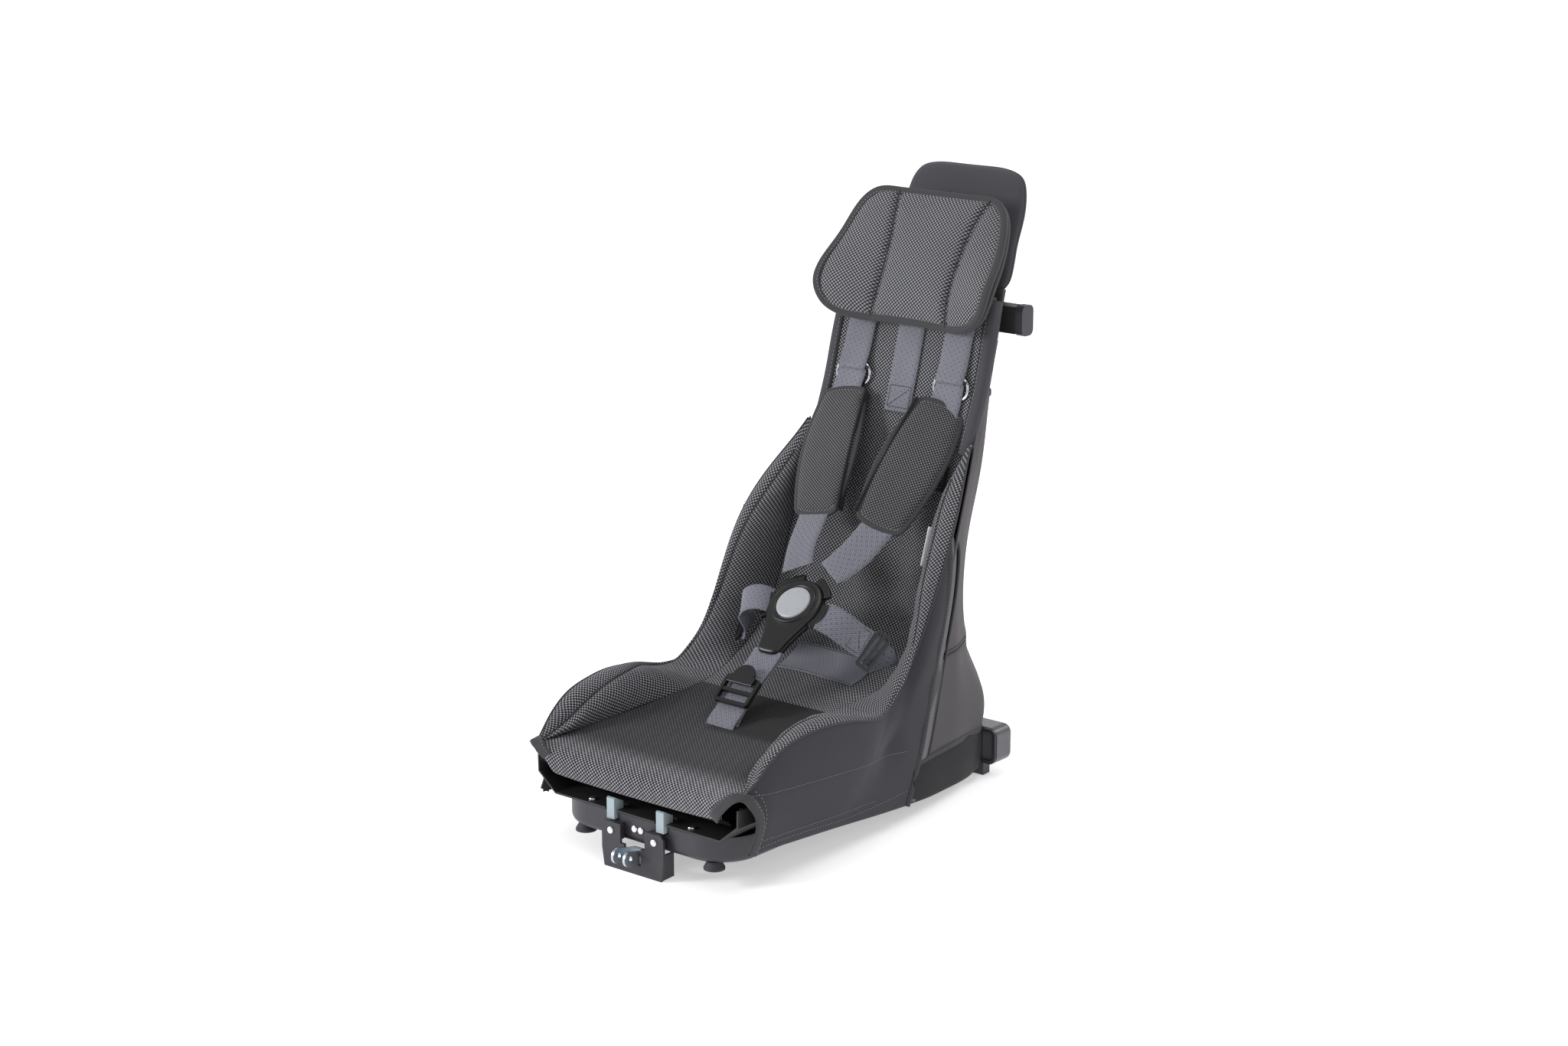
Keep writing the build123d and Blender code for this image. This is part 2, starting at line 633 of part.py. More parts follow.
for side, run in STRAP_RUNS.items():
    add("shoulder_strap_" + side, strap(run, STRAP_FACE))
    add("strap_slide_" + side, slide_plate(run))
    add("shoulder_pad_" + side, pad_body(run))
centre_run = [(1, back_y(506) - 1.6, 506), (1, back_y(398) - 1.6, 398)]
add("centre_strap", strap(centre_run, STRAP_FACE, width=36.0))
crotch_run = [(0, 128, 60), (0, 128, 108), buckle_point(0, -66, 9.0)]
add("crotch_strap", strap(crotch_run, (0, -0.65, 0.76)))
add("crotch_adjuster", ladder_lock())
add("crotch_thumb_tab", thumb_tab())
add_pair("waist_strap", strap(WAIST_RUN, WAIST_FACE, width=34.0))
add_pair("hip_adjuster", hip_adjuster())
add("lap_webbing", Pos(0, 296.0, 147.5) * Rot(-55, 0, 0) * Box(160, WEBBING_THICK, 32))
add("buckle_back", buckle_back())
add("buckle_housing", buckle_housing())
add("buckle_button", buckle_button())
add("shoulder_tongues", tongue(52), tongue(128))
add("waist_tongues", tongue(-10), tongue(190))

os.makedirs("parts", exist_ok=True)
for name, shape in nodes.items():
    export_step(stand(shape), "parts/" + name + ".step")
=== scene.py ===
import math

import bmesh
import bpy
import numpy as np
from mathutils import Matrix, Vector


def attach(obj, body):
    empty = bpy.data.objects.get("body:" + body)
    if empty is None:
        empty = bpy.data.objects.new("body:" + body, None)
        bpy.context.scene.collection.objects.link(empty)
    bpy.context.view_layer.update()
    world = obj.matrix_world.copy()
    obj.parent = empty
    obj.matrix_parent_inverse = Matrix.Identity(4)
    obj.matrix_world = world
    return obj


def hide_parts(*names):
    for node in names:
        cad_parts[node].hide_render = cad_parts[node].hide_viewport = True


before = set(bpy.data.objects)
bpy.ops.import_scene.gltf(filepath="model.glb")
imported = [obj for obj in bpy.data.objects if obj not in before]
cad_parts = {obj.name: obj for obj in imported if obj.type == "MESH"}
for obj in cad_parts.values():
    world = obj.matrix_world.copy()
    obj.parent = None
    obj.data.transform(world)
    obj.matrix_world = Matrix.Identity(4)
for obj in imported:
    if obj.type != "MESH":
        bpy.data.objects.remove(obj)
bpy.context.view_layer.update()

# Every shape below is worked out in the seat frame, in millimetres: X across, Y to the back,
# Z up, Y = 0 at the front wall of the base. stand() leans it back onto its hitch bracket and
# rear feet, as the CAD part does, and gives metres in the row frame.
MM = 0.001
REST_TILT = math.radians(2.7)
STAND_BACK = 286.2
STAND_LIFT = 20.0 * math.cos(REST_TILT) - 9.0 * math.sin(REST_TILT)
BACK_LEAN = 0.285
BACK_Y, BACK_Z = 433.0, 393.6
WEBBING = 38.0
WEB_THICK = 1.7
PATCH_LIFT = 1.9
HIP_WEBBING = 34.0
SIDES = (("right", 1), ("left", -1))


def turn(directions):
    """Directions of the seat frame in the row frame: turned back about X by the rest tilt."""
    d = np.asarray(directions, float)
    c, s = math.cos(REST_TILT), math.sin(REST_TILT)
    return np.stack([d[..., 0], d[..., 1] * c + d[..., 2] * s, d[..., 2] * c - d[..., 1] * s], -1)


def stand(points):
    """Seat frame millimetres to row frame metres: turned by the rest tilt, moved, and scaled."""
    return (turn(points) + [0.0, -STAND_BACK, STAND_LIFT]) * MM


def back_y(z):
    """Y of the back's flat upper part at height z: a straight lean."""
    return BACK_Y + BACK_LEAN * (z - BACK_Z)


# ---- curves and grids ---------------------------------------------------------------
def unit(v):
    """Vectors scaled to length 1."""
    return v / np.maximum(np.linalg.norm(v, axis=-1, keepdims=True), 1e-9)


def cubic(knots, values, where):
    """Natural cubic spline through values at knots, read at where: its second slopes come
    from one linear solve, and each span is the usual blend of end values and second slopes."""
    k, v = np.asarray(knots, float), np.asarray(values, float)
    flat, h, n = v.reshape(len(k), -1), np.diff(k), len(k)
    system, right = np.eye(n), np.zeros((n, flat.shape[1]))
    i = np.arange(1, n - 1)
    system[i, i - 1], system[i, i], system[i, i + 1] = h[:-1], 2 * (h[:-1] + h[1:]), h[1:]
    right[1:-1] = 6 * np.diff(np.diff(flat, axis=0) / h[:, None], axis=0)
    second = np.linalg.solve(system, right)
    w = np.clip(np.asarray(where, float), k[0], k[-1])
    j = np.clip(np.searchsorted(k, w, side="right") - 1, 0, n - 2)
    a, b = ((k[j + 1] - w) / h[j])[..., None], ((w - k[j]) / h[j])[..., None]
    curve = a * flat[j] + b * flat[j + 1]
    curve = curve + ((a**3 - a) * second[j] + (b**3 - b) * second[j + 1]) * (h[j] ** 2)[..., None] / 6
    return curve.reshape(np.shape(where) + v.shape[1:])


def along(points):
    """Running length of a line of points, from 0."""
    steps = np.linalg.norm(np.diff(np.asarray(points, float), axis=0), axis=1)
    return np.concatenate([[0.0], np.cumsum(steps)])


def smooth_line(points, n):
    """n points, evenly spaced, on the cubic spline through the given points."""
    points = np.asarray(points, float)
    fine = cubic(along(points), points, np.linspace(0, along(points)[-1], 12 * len(points)))
    return evenly(fine, n)


def evenly(points, n):
    """n points evenly spaced by length along a line of straight runs."""
    points = np.asarray(points, float)
    run = along(points)
    where = np.linspace(0, run[-1], n)
    return np.stack([np.interp(where, run, points[:, i]) for i in range(points.shape[1])], -1)


def loop_line(points, n):
    """n points, evenly spaced, on a smooth closed curve through the given corner points."""
    points = np.asarray(points, float)
    wrapped = np.concatenate([points[-3:], points, points[:4]])
    run = along(wrapped)
    fine = cubic(run, wrapped, np.linspace(run[3], run[3 + len(points)], 16 * len(points)))
    return evenly(fine, n + 1)[:-1]


def normals_of(grid):
    """Unit normals of a grid surface: the cross product of its slopes along columns and rows."""
    return unit(np.cross(np.gradient(grid, axis=1), np.gradient(grid, axis=0)))


def bump(x, centre, width):
    """Bell curve of height 1."""
    return np.exp(-(((x - centre) / width) ** 2))


def ease(x, start, end):
    """0 before start, 1 after end, and a smooth step between them."""
    t = np.clip((x - start) / (end - start), 0, 1)
    return t * t * (3 - 2 * t)


# ---- meshes -------------------------------------------------------------------------
def make_mesh(name, points, faces, uv=None, weld=True):
    """Mesh object from row-frame points, faces, and one UV pair for each face corner."""
    mesh = bpy.data.meshes.new(name)
    mesh.from_pydata(points, [], faces)
    if uv is not None:
        layer = mesh.uv_layers.new(name="UVMap")
        layer.data.foreach_set("uv", np.asarray(uv, np.float32).ravel())
    obj = bpy.data.objects.new(name, mesh)
    bpy.context.scene.collection.objects.link(obj)
    if weld:
        work = bmesh.new()
        work.from_mesh(mesh)
        bmesh.ops.remove_doubles(work, verts=work.verts, dist=2e-6)
        bmesh.ops.dissolve_degenerate(work, edges=work.edges, dist=1e-7)
        work.to_mesh(mesh)
        work.free()
    mesh.polygons.foreach_set("use_smooth", np.ones(len(mesh.polygons), bool))
    return obj


def turn_outwards(obj):
    """Turn a closed mesh's faces outwards."""
    work = bmesh.new()
    work.from_mesh(obj.data)
    bmesh.ops.recalc_face_normals(work, faces=work.faces)
    work.to_mesh(obj.data)
    work.free()


def row_lengths(grid):
    """Running length of every row of a grid, from 0."""
    steps = np.linalg.norm(np.diff(grid, axis=1), axis=2)
    return np.concatenate([np.zeros((len(grid), 1)), np.cumsum(steps, 1)], 1)


def grid_faces(rows, cols, wrap_rows, wrap_cols, flip):
    """Corner indices of a grid's quads, and the same corners as (row, column) before wrapping."""
    i, j = np.meshgrid(np.arange(rows - 1 + wrap_rows), np.arange(cols - 1 + wrap_cols), indexing="ij")
    i, j = i.ravel(), j.ravel()
    row = np.stack([i, i, i + 1, i + 1], -1)
    col = np.stack([j, j + 1, j + 1, j], -1)
    if flip:
        row, col = row[:, ::-1], col[:, ::-1]
    return (row % rows) * cols + col % cols, row, col


def surface(name, grid, wrap_rows=False, wrap_cols=False, flip=False, caps=False, closed=False):
    """A grid of seat-frame points as a mesh. Its UV is the running length in metres along the
    middle column and along each row, so that a weave keeps its real pitch. A closed one gets its
    faces turned outwards; an open one faces the cross product of its columns and rows."""
    rows, cols = grid.shape[:2]
    faces, row, col = grid_faces(rows, cols, wrap_rows, wrap_cols, flip)
    whole = np.concatenate([grid, grid[:, :1]], 1) if wrap_cols else grid
    whole = np.concatenate([whole, whole[:1]], 0) if wrap_rows else whole
    across = row_lengths(whole)
    middle = whole.shape[1] // 2
    across = across - across[:, middle:middle + 1]
    down = along(whole[:, middle])[:, None] + 0 * across
    uv = np.stack([across, down], -1) * MM
    points, face_list = stand(grid).reshape(-1, 3), faces.tolist()
    corner_uv = uv[row, col].reshape(-1, 2)
    if caps:
        first, last = list(range(cols)), [(rows - 1) * cols + c for c in range(cols)]
        ends = [first if flip else first[::-1], last[::-1] if flip else last]
        face_list += ends
        corner_uv = np.concatenate([corner_uv] + [uv[e // cols, e % cols] for e in map(np.array, ends)])
    obj = make_mesh(name, points, face_list, uv=corner_uv)
    if caps or closed or (wrap_rows and wrap_cols):
        turn_outwards(obj)
    return obj


def sweep(path, side, profile):
    """Grid of a profile carried along a path: each point is the path's point plus the profile's
    first number along the side vector and its second along the normal, side x run."""
    run = unit(np.gradient(path, axis=0))
    side = unit(side - run * (side * run).sum(-1, keepdims=True))
    normal = np.cross(side, run)
    return carried(path, side, normal, profile)


def carried(path, side, face, profile):
    """Grid of a profile at each point of a path, its two numbers along side and face."""
    face = np.broadcast_to(face, path.shape)
    return path[:, None] + side[:, None] * profile[None, :, :1] + face[:, None] * profile[None, :, 1:]


def moved_sideways(loop, distance):
    """A flat closed outline moved to the right of its own direction by a distance."""
    ahead = unit(np.roll(loop, -1, 0) - np.roll(loop, 1, 0))
    return loop + np.stack([ahead[:, 1], -ahead[:, 0]], -1) * distance


def oval(width, thick, n=12, power=0.5):
    """Closed profile of a band: a flattened superellipse, cos and sin raised to a power."""
    t = np.linspace(0, 2 * np.pi, n, endpoint=False) + np.pi / n
    c, s = np.cos(t), np.sin(t)
    x, y = (np.sign(v) * abs(v) ** power for v in (c, s))
    return np.stack([x * width / 2, y * thick / 2], -1)


def band_profile(width, thick):
    """Closed profile of woven webbing: flat faces with rounded selvedges."""
    h, w = thick / 2, width / 2
    top = [(-w + 0.5 * h, h), (-w * 0.6, h), (0, h), (w * 0.6, h), (w - 0.5 * h, h), (w, 0.45 * h)]
    return np.array(top + [(-x, -y) for x, y in top])


def add_modifier(obj, kind, **settings):
    """One modifier with its settings."""
    modifier = obj.modifiers.new(kind.title(), kind)
    for key, value in settings.items():
        setattr(modifier, key, value)


def finish_piece(obj, material, body="seat", thick=None, stands_for=()):
    """Give a piece its material, wall, body, material slot and the CAD nodes it stands for."""
    obj.data.materials.clear()
    obj.data.materials.append(material)
    if thick:
        add_modifier(obj, "SOLIDIFY", thickness=thick * MM, offset=-1.0, use_even_offset=False)
    if stands_for:
        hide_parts(*stands_for)
    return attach(obj, body)


def sewn_sheet(grid):
    """Length in metres, rounded, of the longest column of a cloth panel's grid; it is worked out
    and not used."""
    length = round(max(along(c)[-1] for c in grid.transpose(1, 0, 2)) * MM, 3)


def stitches(name, path, normal, material, body="seat", pitch=4.2, length=2.7, thread=0.55):
    """A row of thread dashes along a path: each is a small box with pointed ends, sunk a little
    into the cloth, at even steps of the path's length."""
    path, normal = np.asarray(path, float), unit(np.asarray(normal, float))
    run = along(path)
    count = max(int(run[-1] / pitch), 2)
    centre = (np.arange(count) + 0.5) * run[-1] / count
    at = np.stack([np.interp(centre, run, path[:, i]) for i in range(3)], -1)
    ahead = np.stack([np.interp(centre + 0.5, run, path[:, i]) for i in range(3)], -1)
    behind = np.stack([np.interp(centre - 0.5, run, path[:, i]) for i in range(3)], -1)
    up = unit(np.stack([np.interp(centre, run, normal[:, i]) for i in range(3)], -1))
    forward = unit(ahead - behind + 1e-6)
    across = unit(np.cross(forward, up))
    shape = np.array([(-0.5, 0, -0.6), (0.5, 0, -0.6), (-0.32, 1, 0.2), (0.32, 1, 0.2),
                      (-0.32, -1, 0.2), (0.32, -1, 0.2), (0, 0, 0.9)])
    scale = [length, thread, thread]
    cells = at[:, None] + sum(v[:, None] * (shape[None, :, i:i + 1] * scale[i])
                              for i, v in enumerate((forward, across, up)))
    quads = np.array([(0, 2, 6), (2, 3, 6), (3, 1, 6), (1, 5, 6), (5, 4, 6), (4, 0, 6), (0, 4, 5),
                      (0, 5, 1), (0, 1, 3), (0, 3, 2)])
    faces = (quads[None] + np.arange(count)[:, None, None] * len(shape)).reshape(-1, 3)
    obj = make_mesh(name, stand(cells).reshape(-1, 3), faces.tolist(), weld=False)
    return finish_piece(obj, material, body)


# ---- materials ----------------------------------------------------------------------
class Paint:
    """One node material: short calls that add a node and hand back its output socket."""

    def __init__(self, name, roughness=0.6, metallic=0.0, specular=0.5, sheen=0.0, coat=0.0):
        self.material = bpy.data.materials.new(name)
        self.material.use_nodes = True
        self.tree = self.material.node_tree
        self.shader = self.tree.nodes["Principled BSDF"]
        self.shader.inputs["Roughness"].default_value = roughness
        self.shader.inputs["Metallic"].default_value = metallic
        self.shader.inputs["Specular IOR Level"].default_value = specular
        self.shader.inputs["Sheen Weight"].default_value = sheen
        self.shader.inputs["Sheen Roughness"].default_value = 0.45
        self.shader.inputs["Coat Weight"].default_value = coat

    def node(self, kind, inputs=(), output=0, **settings):
        """Add a node, set it, feed its inputs with numbers or sockets, and return one output."""
        made = self.tree.nodes.new(kind)
        for key, value in settings.items():
            setattr(made, key, value)
        for key, value in dict(inputs).items():
            if isinstance(value, bpy.types.NodeSocket):
                self.tree.links.new(value, made.inputs[key])
            else:
                made.inputs[key].default_value = value
        return made.outputs[output]

    def math(self, operation, a, b=0.0, clamp=False):
        """One sum on numbers or sockets."""
        return self.node("ShaderNodeMath", {0: a, 1: b}, operation=operation, use_clamp=clamp)

    def step(self, value, low, high, invert=False):
        """Smooth step of a value from low to high."""
        ends = (1.0, 0.0) if invert else (0.0, 1.0)
        return self.node("ShaderNodeMapRange", {0: value, 1: low, 2: high, 3: ends[0], 4: ends[1]},
                         interpolation_type="SMOOTHSTEP")

    def mix(self, share, a, b):
        """Blend of two colours."""
        return self.node("ShaderNodeMix", {0: share, 6: a, 7: b}, output=2, data_type="RGBA")

    def uv(self, across, length, turn_by=0.0):
        """The piece's own cloth coordinates, in units of one weave cell each way."""
        place = self.node("ShaderNodeTexCoord", output=2)
        return self.node("ShaderNodeMapping",
                         {0: place, 2: (0, 0, turn_by), 3: (1 / across, 1 / length, 1)})

    def place(self, stretch=(1, 1, 1)):
        """Object coordinates, stretched along each axis."""
        where = self.node("ShaderNodeTexCoord", output=3)
        return self.node("ShaderNodeMapping", {0: where, 3: stretch})

    def noise(self, where, scale, detail=3.0, rough=0.5):
        """Cloudy noise from 0 to 1."""
        return self.node("ShaderNodeTexNoise", {"Vector": where, "Scale": scale, "Detail": detail,
                                                "Roughness": rough})

    def cells(self, where):
        """Distance to the nearest middle of a staggered grid of cells, 0.5 at a cell's edge."""
        nearest = None
        for shift in (0.0, 0.5):
            moved = self.node("ShaderNodeVectorMath", {0: where, 1: (shift, shift, 0)}, operation="ADD")
            part = self.node("ShaderNodeVectorMath", {0: moved}, operation="FRACTION")
            part = self.node("ShaderNodeVectorMath", {0: part, 1: (0.5, 0.5, 0)}, operation="SUBTRACT")
            part = self.node("ShaderNodeVectorMath", {0: part, 1: (1, 1, 0)}, operation="MULTIPLY")
            far = self.node("ShaderNodeVectorMath", {0: part}, output=1, operation="LENGTH")
            nearest = far if nearest is None else self.math("MINIMUM", nearest, far)
        return nearest

    def wave(self, where, axis, count):
        """Sine stripes along one axis, from -1 to 1, count per unit."""
        part = self.node("ShaderNodeSeparateXYZ", {0: where}, output=axis)
        return self.math("SINE", self.math("MULTIPLY", part, 2 * math.pi * count))

    def colour(self, socket):
        """Drive the base colour."""
        self.tree.links.new(socket, self.shader.inputs["Base Color"])

    def rough(self, socket):
        """Drive the roughness."""
        self.tree.links.new(socket, self.shader.inputs["Roughness"])

    def relief(self, height, depth, strength):
        """Bump from a height of 0 to 1, depth in metres."""
        normal = self.node("ShaderNodeBump", {"Height": height, "Distance": depth, "Strength": strength})
        self.tree.links.new(normal, self.shader.inputs["Normal"])


def grey(value, blue=0.0):
    """A grey colour, or one a little bluer than grey."""
    return (value, value, value * (1 + blue), 1.0)


def tinted(colour, share, lift=0.0):
    """A colour scaled by share and lifted, each number at most 1."""
    return tuple(min(c * share + lift, 1.0) for c in colour[:3]) + (1.0,)


def shade(paint, light, dark, share):
    """Colour between dark and light by share."""
    return paint.mix(share, dark, light)


def spacer_mesh(name, light, dark, across=0.0046, length=0.0042, pore=(0.26, 0.42)):
    """Spacer knit: staggered oval pores with a pale lattice of yarn between them, finer yarn
    strands across the lattice, slow colour clouds, and relief of about 0.6 mm."""
    p = Paint(name, roughness=0.82, sheen=0.08, specular=0.15)
    where = p.uv(across, length)
    cell = p.cells(where)
    wide = p.noise(p.place(), 9.0, 2.0)
    fine = p.noise(p.place(), 900.0, 2.0)
    lattice = p.step(cell, pore[0], pore[1])
    knots = p.math("MULTIPLY", p.wave(where, 0, 2), p.wave(where, 1, 2))
    yarn = p.math("ADD", p.math("MULTIPLY", knots, 0.10), p.math("MULTIPLY", fine, 0.35))
    share = p.math("MULTIPLY", lattice, p.math("ADD", p.math("MULTIPLY", wide, 0.35), 0.55))
    share = p.math("ADD", share, p.math("MULTIPLY", lattice, p.math("SUBTRACT", yarn, 0.12)), clamp=True)
    p.colour(shade(p, light, dark, share))
    p.relief(p.math("ADD", lattice, p.math("MULTIPLY", fine, 0.25)), 0.0006, 0.8)
    return p.material


def fine_knit(name):
    """Seat knit: staggered cells with a crossing thread and diagonal ribs; its yarn is painted
    palest on the front roll as painted light, darker over the pan as painted shade, and darkest
    on the right behind the crotch strap, a darker cloth deepened by painted shade."""
    p = Paint(name, roughness=0.86, sheen=0.08, specular=0.15)
    where = p.uv(0.0046, 0.0042)
    cell = p.cells(where)
    lattice = p.step(cell, 0.24, 0.44)
    ribs = p.wave(p.uv(0.0028, 0.0028, math.radians(38)), 0, 1)
    fine = p.noise(p.place(), 1100.0, 2.0)
    wide = p.noise(p.place(), 7.0, 2.0)
    at = p.place()
    x = p.node("ShaderNodeSeparateXYZ", {0: at}, output=0)
    y = p.node("ShaderNodeSeparateXYZ", {0: at}, output=1)
    # Mask of the front roll: its yarn is painted pale as painted light; the pan behind it is painted darker
    # as painted shade.
    front = p.step(y, -0.275, -0.235, invert=True)
    # Darker cloth on the right rear of the pan behind the crotch strap, deepened by painted shade.
    dark_cloth_and_shade_wedge = p.math("MULTIPLY", p.step(x, -0.016, -0.006), p.step(y, -0.166, -0.154))
    share = p.math("MULTIPLY", lattice, p.math("ADD", p.math("MULTIPLY", ribs, 0.10), 0.62))
    share = p.math("ADD", share, p.math("MULTIPLY", p.math("SUBTRACT", fine, 0.5), 0.35))
    share = p.math("ADD", share, p.math("MULTIPLY", p.math("SUBTRACT", wide, 0.5), 0.2), clamp=True)
    # Two yarn greys: painted light on the front roll, painted shade over the pan.
    yarn = p.mix(front, grey(0.150, blue=0.08), grey(0.66, blue=0.08))
    yarn = p.mix(dark_cloth_and_shade_wedge, yarn, grey(0.030, blue=0.03))
    p.colour(p.mix(share, grey(0.011, blue=0.1), yarn))
    p.relief(p.math("ADD", lattice, p.math("MULTIPLY", fine, 0.3)), 0.0004, 0.7)
    return p.material


def softshell(name, colour, twill=0.0011, sheen=0.10, clouds=0.16):
    """Plain softshell: tiny twill lines, fibre grain, slow clouds and faint wear."""
    p = Paint(name, roughness=0.84, sheen=sheen, specular=0.14)
    lines = p.wave(p.uv(twill, twill, math.radians(32)), 0, 1)
    grain = p.noise(p.place(), 1600.0, 2.0, 0.6)
    wide = p.noise(p.place(), 11.0, 4.0)
    share = p.math("ADD", p.math("MULTIPLY", wide, clouds * 2), p.math("MULTIPLY", grain, 0.22))
    share = p.math("ADD", share, p.math("MULTIPLY", lines, 0.05), clamp=True)
    p.colour(shade(p, tinted(colour, 1 + clouds * 1.6), tinted(colour, 1 - clouds), share))
    p.rough(p.math("ADD", p.math("MULTIPLY", wide, 0.12), 0.76))
    p.relief(p.math("ADD", p.math("MULTIPLY", lines, 0.3), grain), 0.00012, 0.7)
    return p.material


def webbing(name, colour, dots=True):
    """Harness webbing: diagonal twill ribs, dark pin dots on a slanted grid and paler worn ribs."""
    p = Paint(name, roughness=0.62, sheen=0.08, specular=0.25)
    ribs = p.wave(p.uv(0.0021, 0.0021, math.radians(-34)), 0, 1)
    grain = p.noise(p.place(), 1500.0, 2.0)
    wide = p.noise(p.place(), 16.0, 3.0)
    share = p.math("ADD", p.math("MULTIPLY", ribs, 0.30), p.math("MULTIPLY", grain, 0.40))
    share = p.math("ADD", share, p.math("MULTIPLY", wide, 0.45), clamp=True)
    tone = shade(p, tinted(colour, 1.38), tinted(colour, 0.62), share)
    if dots:
        spot = p.step(p.cells(p.uv(0.0082, 0.0070, math.radians(9))), 0.060, 0.110, invert=True)
        tone = shade(p, tinted(colour, 0.28), tone, spot)
    p.colour(tone)
    p.relief(p.math("ADD", p.math("MULTIPLY", ribs, 0.5), grain), 0.00022, 0.8)
    return p.material


def moulded(name, colour, roughness=0.45, grain=2600.0, depth=0.00005, coat=0.0, specular=0.5, metal=0.0,
            wear=0.25):
    """Moulded plastic or painted metal: fine spark grain, slow gloss clouds and faint rubs."""
    p = Paint(name, roughness=roughness, metallic=metal, specular=specular, coat=coat)
    fine = p.noise(p.place(), grain, 2.0, 0.6)
    wide = p.noise(p.place(), 23.0, 4.0, 0.6)
    rubs = p.step(p.noise(p.place(stretch=(1, 0.2, 1)), 160.0, 3.0, 0.7), 0.62, 0.80)
    share = p.math("ADD", p.math("MULTIPLY", wide, 0.6), p.math("MULTIPLY", fine, 0.4), clamp=True)
    p.colour(shade(p, tinted(colour, 1.16, 0.004), tinted(colour, 0.86), share))
    gloss = p.math("ADD", p.math("MULTIPLY", wide, 0.14), roughness - 0.07)
    p.rough(p.math("ADD", gloss, p.math("MULTIPLY", rubs, 0.12 * wear), clamp=True))
    p.relief(fine, depth, 0.7)
    return p.material


def plated(name, colour, roughness, brushed=0.0):
    """Plated steel: bright metal with faint drawn lines and cloudy plating."""
    p = Paint(name, roughness=roughness, metallic=1.0)
    lines = p.noise(p.place(stretch=(1, 14, 1)), 420.0, 3.0, 0.6)
    wide = p.noise(p.place(), 60.0, 3.0)
    share = p.math("ADD", p.math("MULTIPLY", wide, 0.6), p.math("MULTIPLY", lines, 0.4), clamp=True)
    p.colour(shade(p, colour, tinted(colour, 0.72), share))
    p.rough(p.math("ADD", p.math("MULTIPLY", lines, 0.16 + brushed), roughness - 0.06, clamp=True))
    p.relief(lines, 0.00002, 0.5 + brushed)
    return p.material


MESH = spacer_mesh("coarse spacer mesh", grey(0.48, blue=0.08), grey(0.024, blue=0.08))
CUSHION_MESH = spacer_mesh("cushion mesh", grey(0.47, blue=0.08), grey(0.036, blue=0.08))
PAD_MESH = spacer_mesh("pad mesh", grey(0.27, blue=0.07), grey(0.026, blue=0.06), across=0.0040,
                       length=0.0037)
KNIT = fine_knit("seat knit")
SKIRT = softshell("skirt softshell", (0.044, 0.043, 0.051, 1))
REAR = softshell("rear softshell", (0.080, 0.073, 0.080, 1))
HEAD = softshell("headboard softshell", grey(0.064, blue=0.12))
RAIL = softshell("rail softshell", grey(0.020, blue=0.1), clouds=0.1)
BINDING = softshell("edge binding", grey(0.052, blue=0.08), twill=0.0016, clouds=0.1)
LINING = softshell("black lining", grey(0.006), clouds=0.1, sheen=0.0)
TAG = softshell("plain pale tag", grey(0.90), twill=0.0008, clouds=0.04)
LIGHT_TAPE = softshell("pale seam tape", grey(0.135, blue=0.04))
THREAD = softshell("grey thread", grey(0.22), twill=0.0005)
DARK_THREAD = softshell("dark thread", grey(0.030), twill=0.0005)
STRAP = webbing("harness webbing", (0.170, 0.173, 0.205, 1))
LAP = webbing("lap webbing", (0.185, 0.188, 0.220, 1), dots=False)
BUCKLE = moulded("buckle plastic", grey(0.007), roughness=0.32, grain=1800.0, depth=0.00002, specular=0.4)
BASE = moulded("base plastic", (0.025, 0.024, 0.032, 1), roughness=0.42)
GLOSS = moulded("bar coating", (0.085, 0.085, 0.095, 1), roughness=0.28, depth=0.00002)
POWDER = moulded("black powder coat", grey(0.012), roughness=0.5, grain=1500.0, depth=0.00008)
BRACKET = moulded("bracket coat", (0.023, 0.022, 0.029, 1), roughness=0.45, grain=1500.0, depth=0.00006)
RUBBER = moulded("foot rubber", (0.028, 0.026, 0.032, 1), roughness=0.72)
BOARD = moulded("hidden board", grey(0.02), roughness=0.7)
TAB = moulded("tab plastic", (0.335, 0.395, 0.430, 1), roughness=0.42, specular=0.4)
BUTTON = moulded("button plastic", (0.33, 0.345, 0.36, 1), roughness=0.36, specular=0.45, wear=0.6)
ZINC = plated("zinc plate", (0.62, 0.68, 0.74, 1), 0.26, brushed=0.1)
RIVET = plated("rivet steel", (0.86, 0.86, 0.88, 1), 0.30)
CHROME = plated("chrome", (0.80, 0.81, 0.83, 1), 0.12)

CAD_FINISH = {
    BASE: ["base_ring", "rear_bar_rims", "rear_feet", "upper_cap_left", "upper_cap_right"],
    GLOSS: ["rear_crossbar"],
    RUBBER: ["front_feet"],
    POWDER: ["tray", "front_cross_tube", "side_tube_left", "side_tube_right", "rear_strut_left",
             "rear_strut_right", "upper_crossbar"],
    BRACKET: ["hitch_bracket"],
    ZINC: ["hitch_lugs", "hitch_pin"],
    RIVET: ["hitch_rivets", "frame_bolts"],
    CHROME: ["tray_screws", "strap_slide_left", "strap_slide_right"],
    BUCKLE: ["crotch_adjuster", "crotch_thumb_tab", "hip_adjuster_left", "hip_adjuster_right"],
    TAB: ["release_tab_left", "release_tab_right"],
    BOARD: ["back_board", "pan_board"],
}
for finish, names in CAD_FINISH.items():
    for cad_name in names:
        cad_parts[cad_name].data.materials.clear()
        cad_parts[cad_name].data.materials.append(finish)


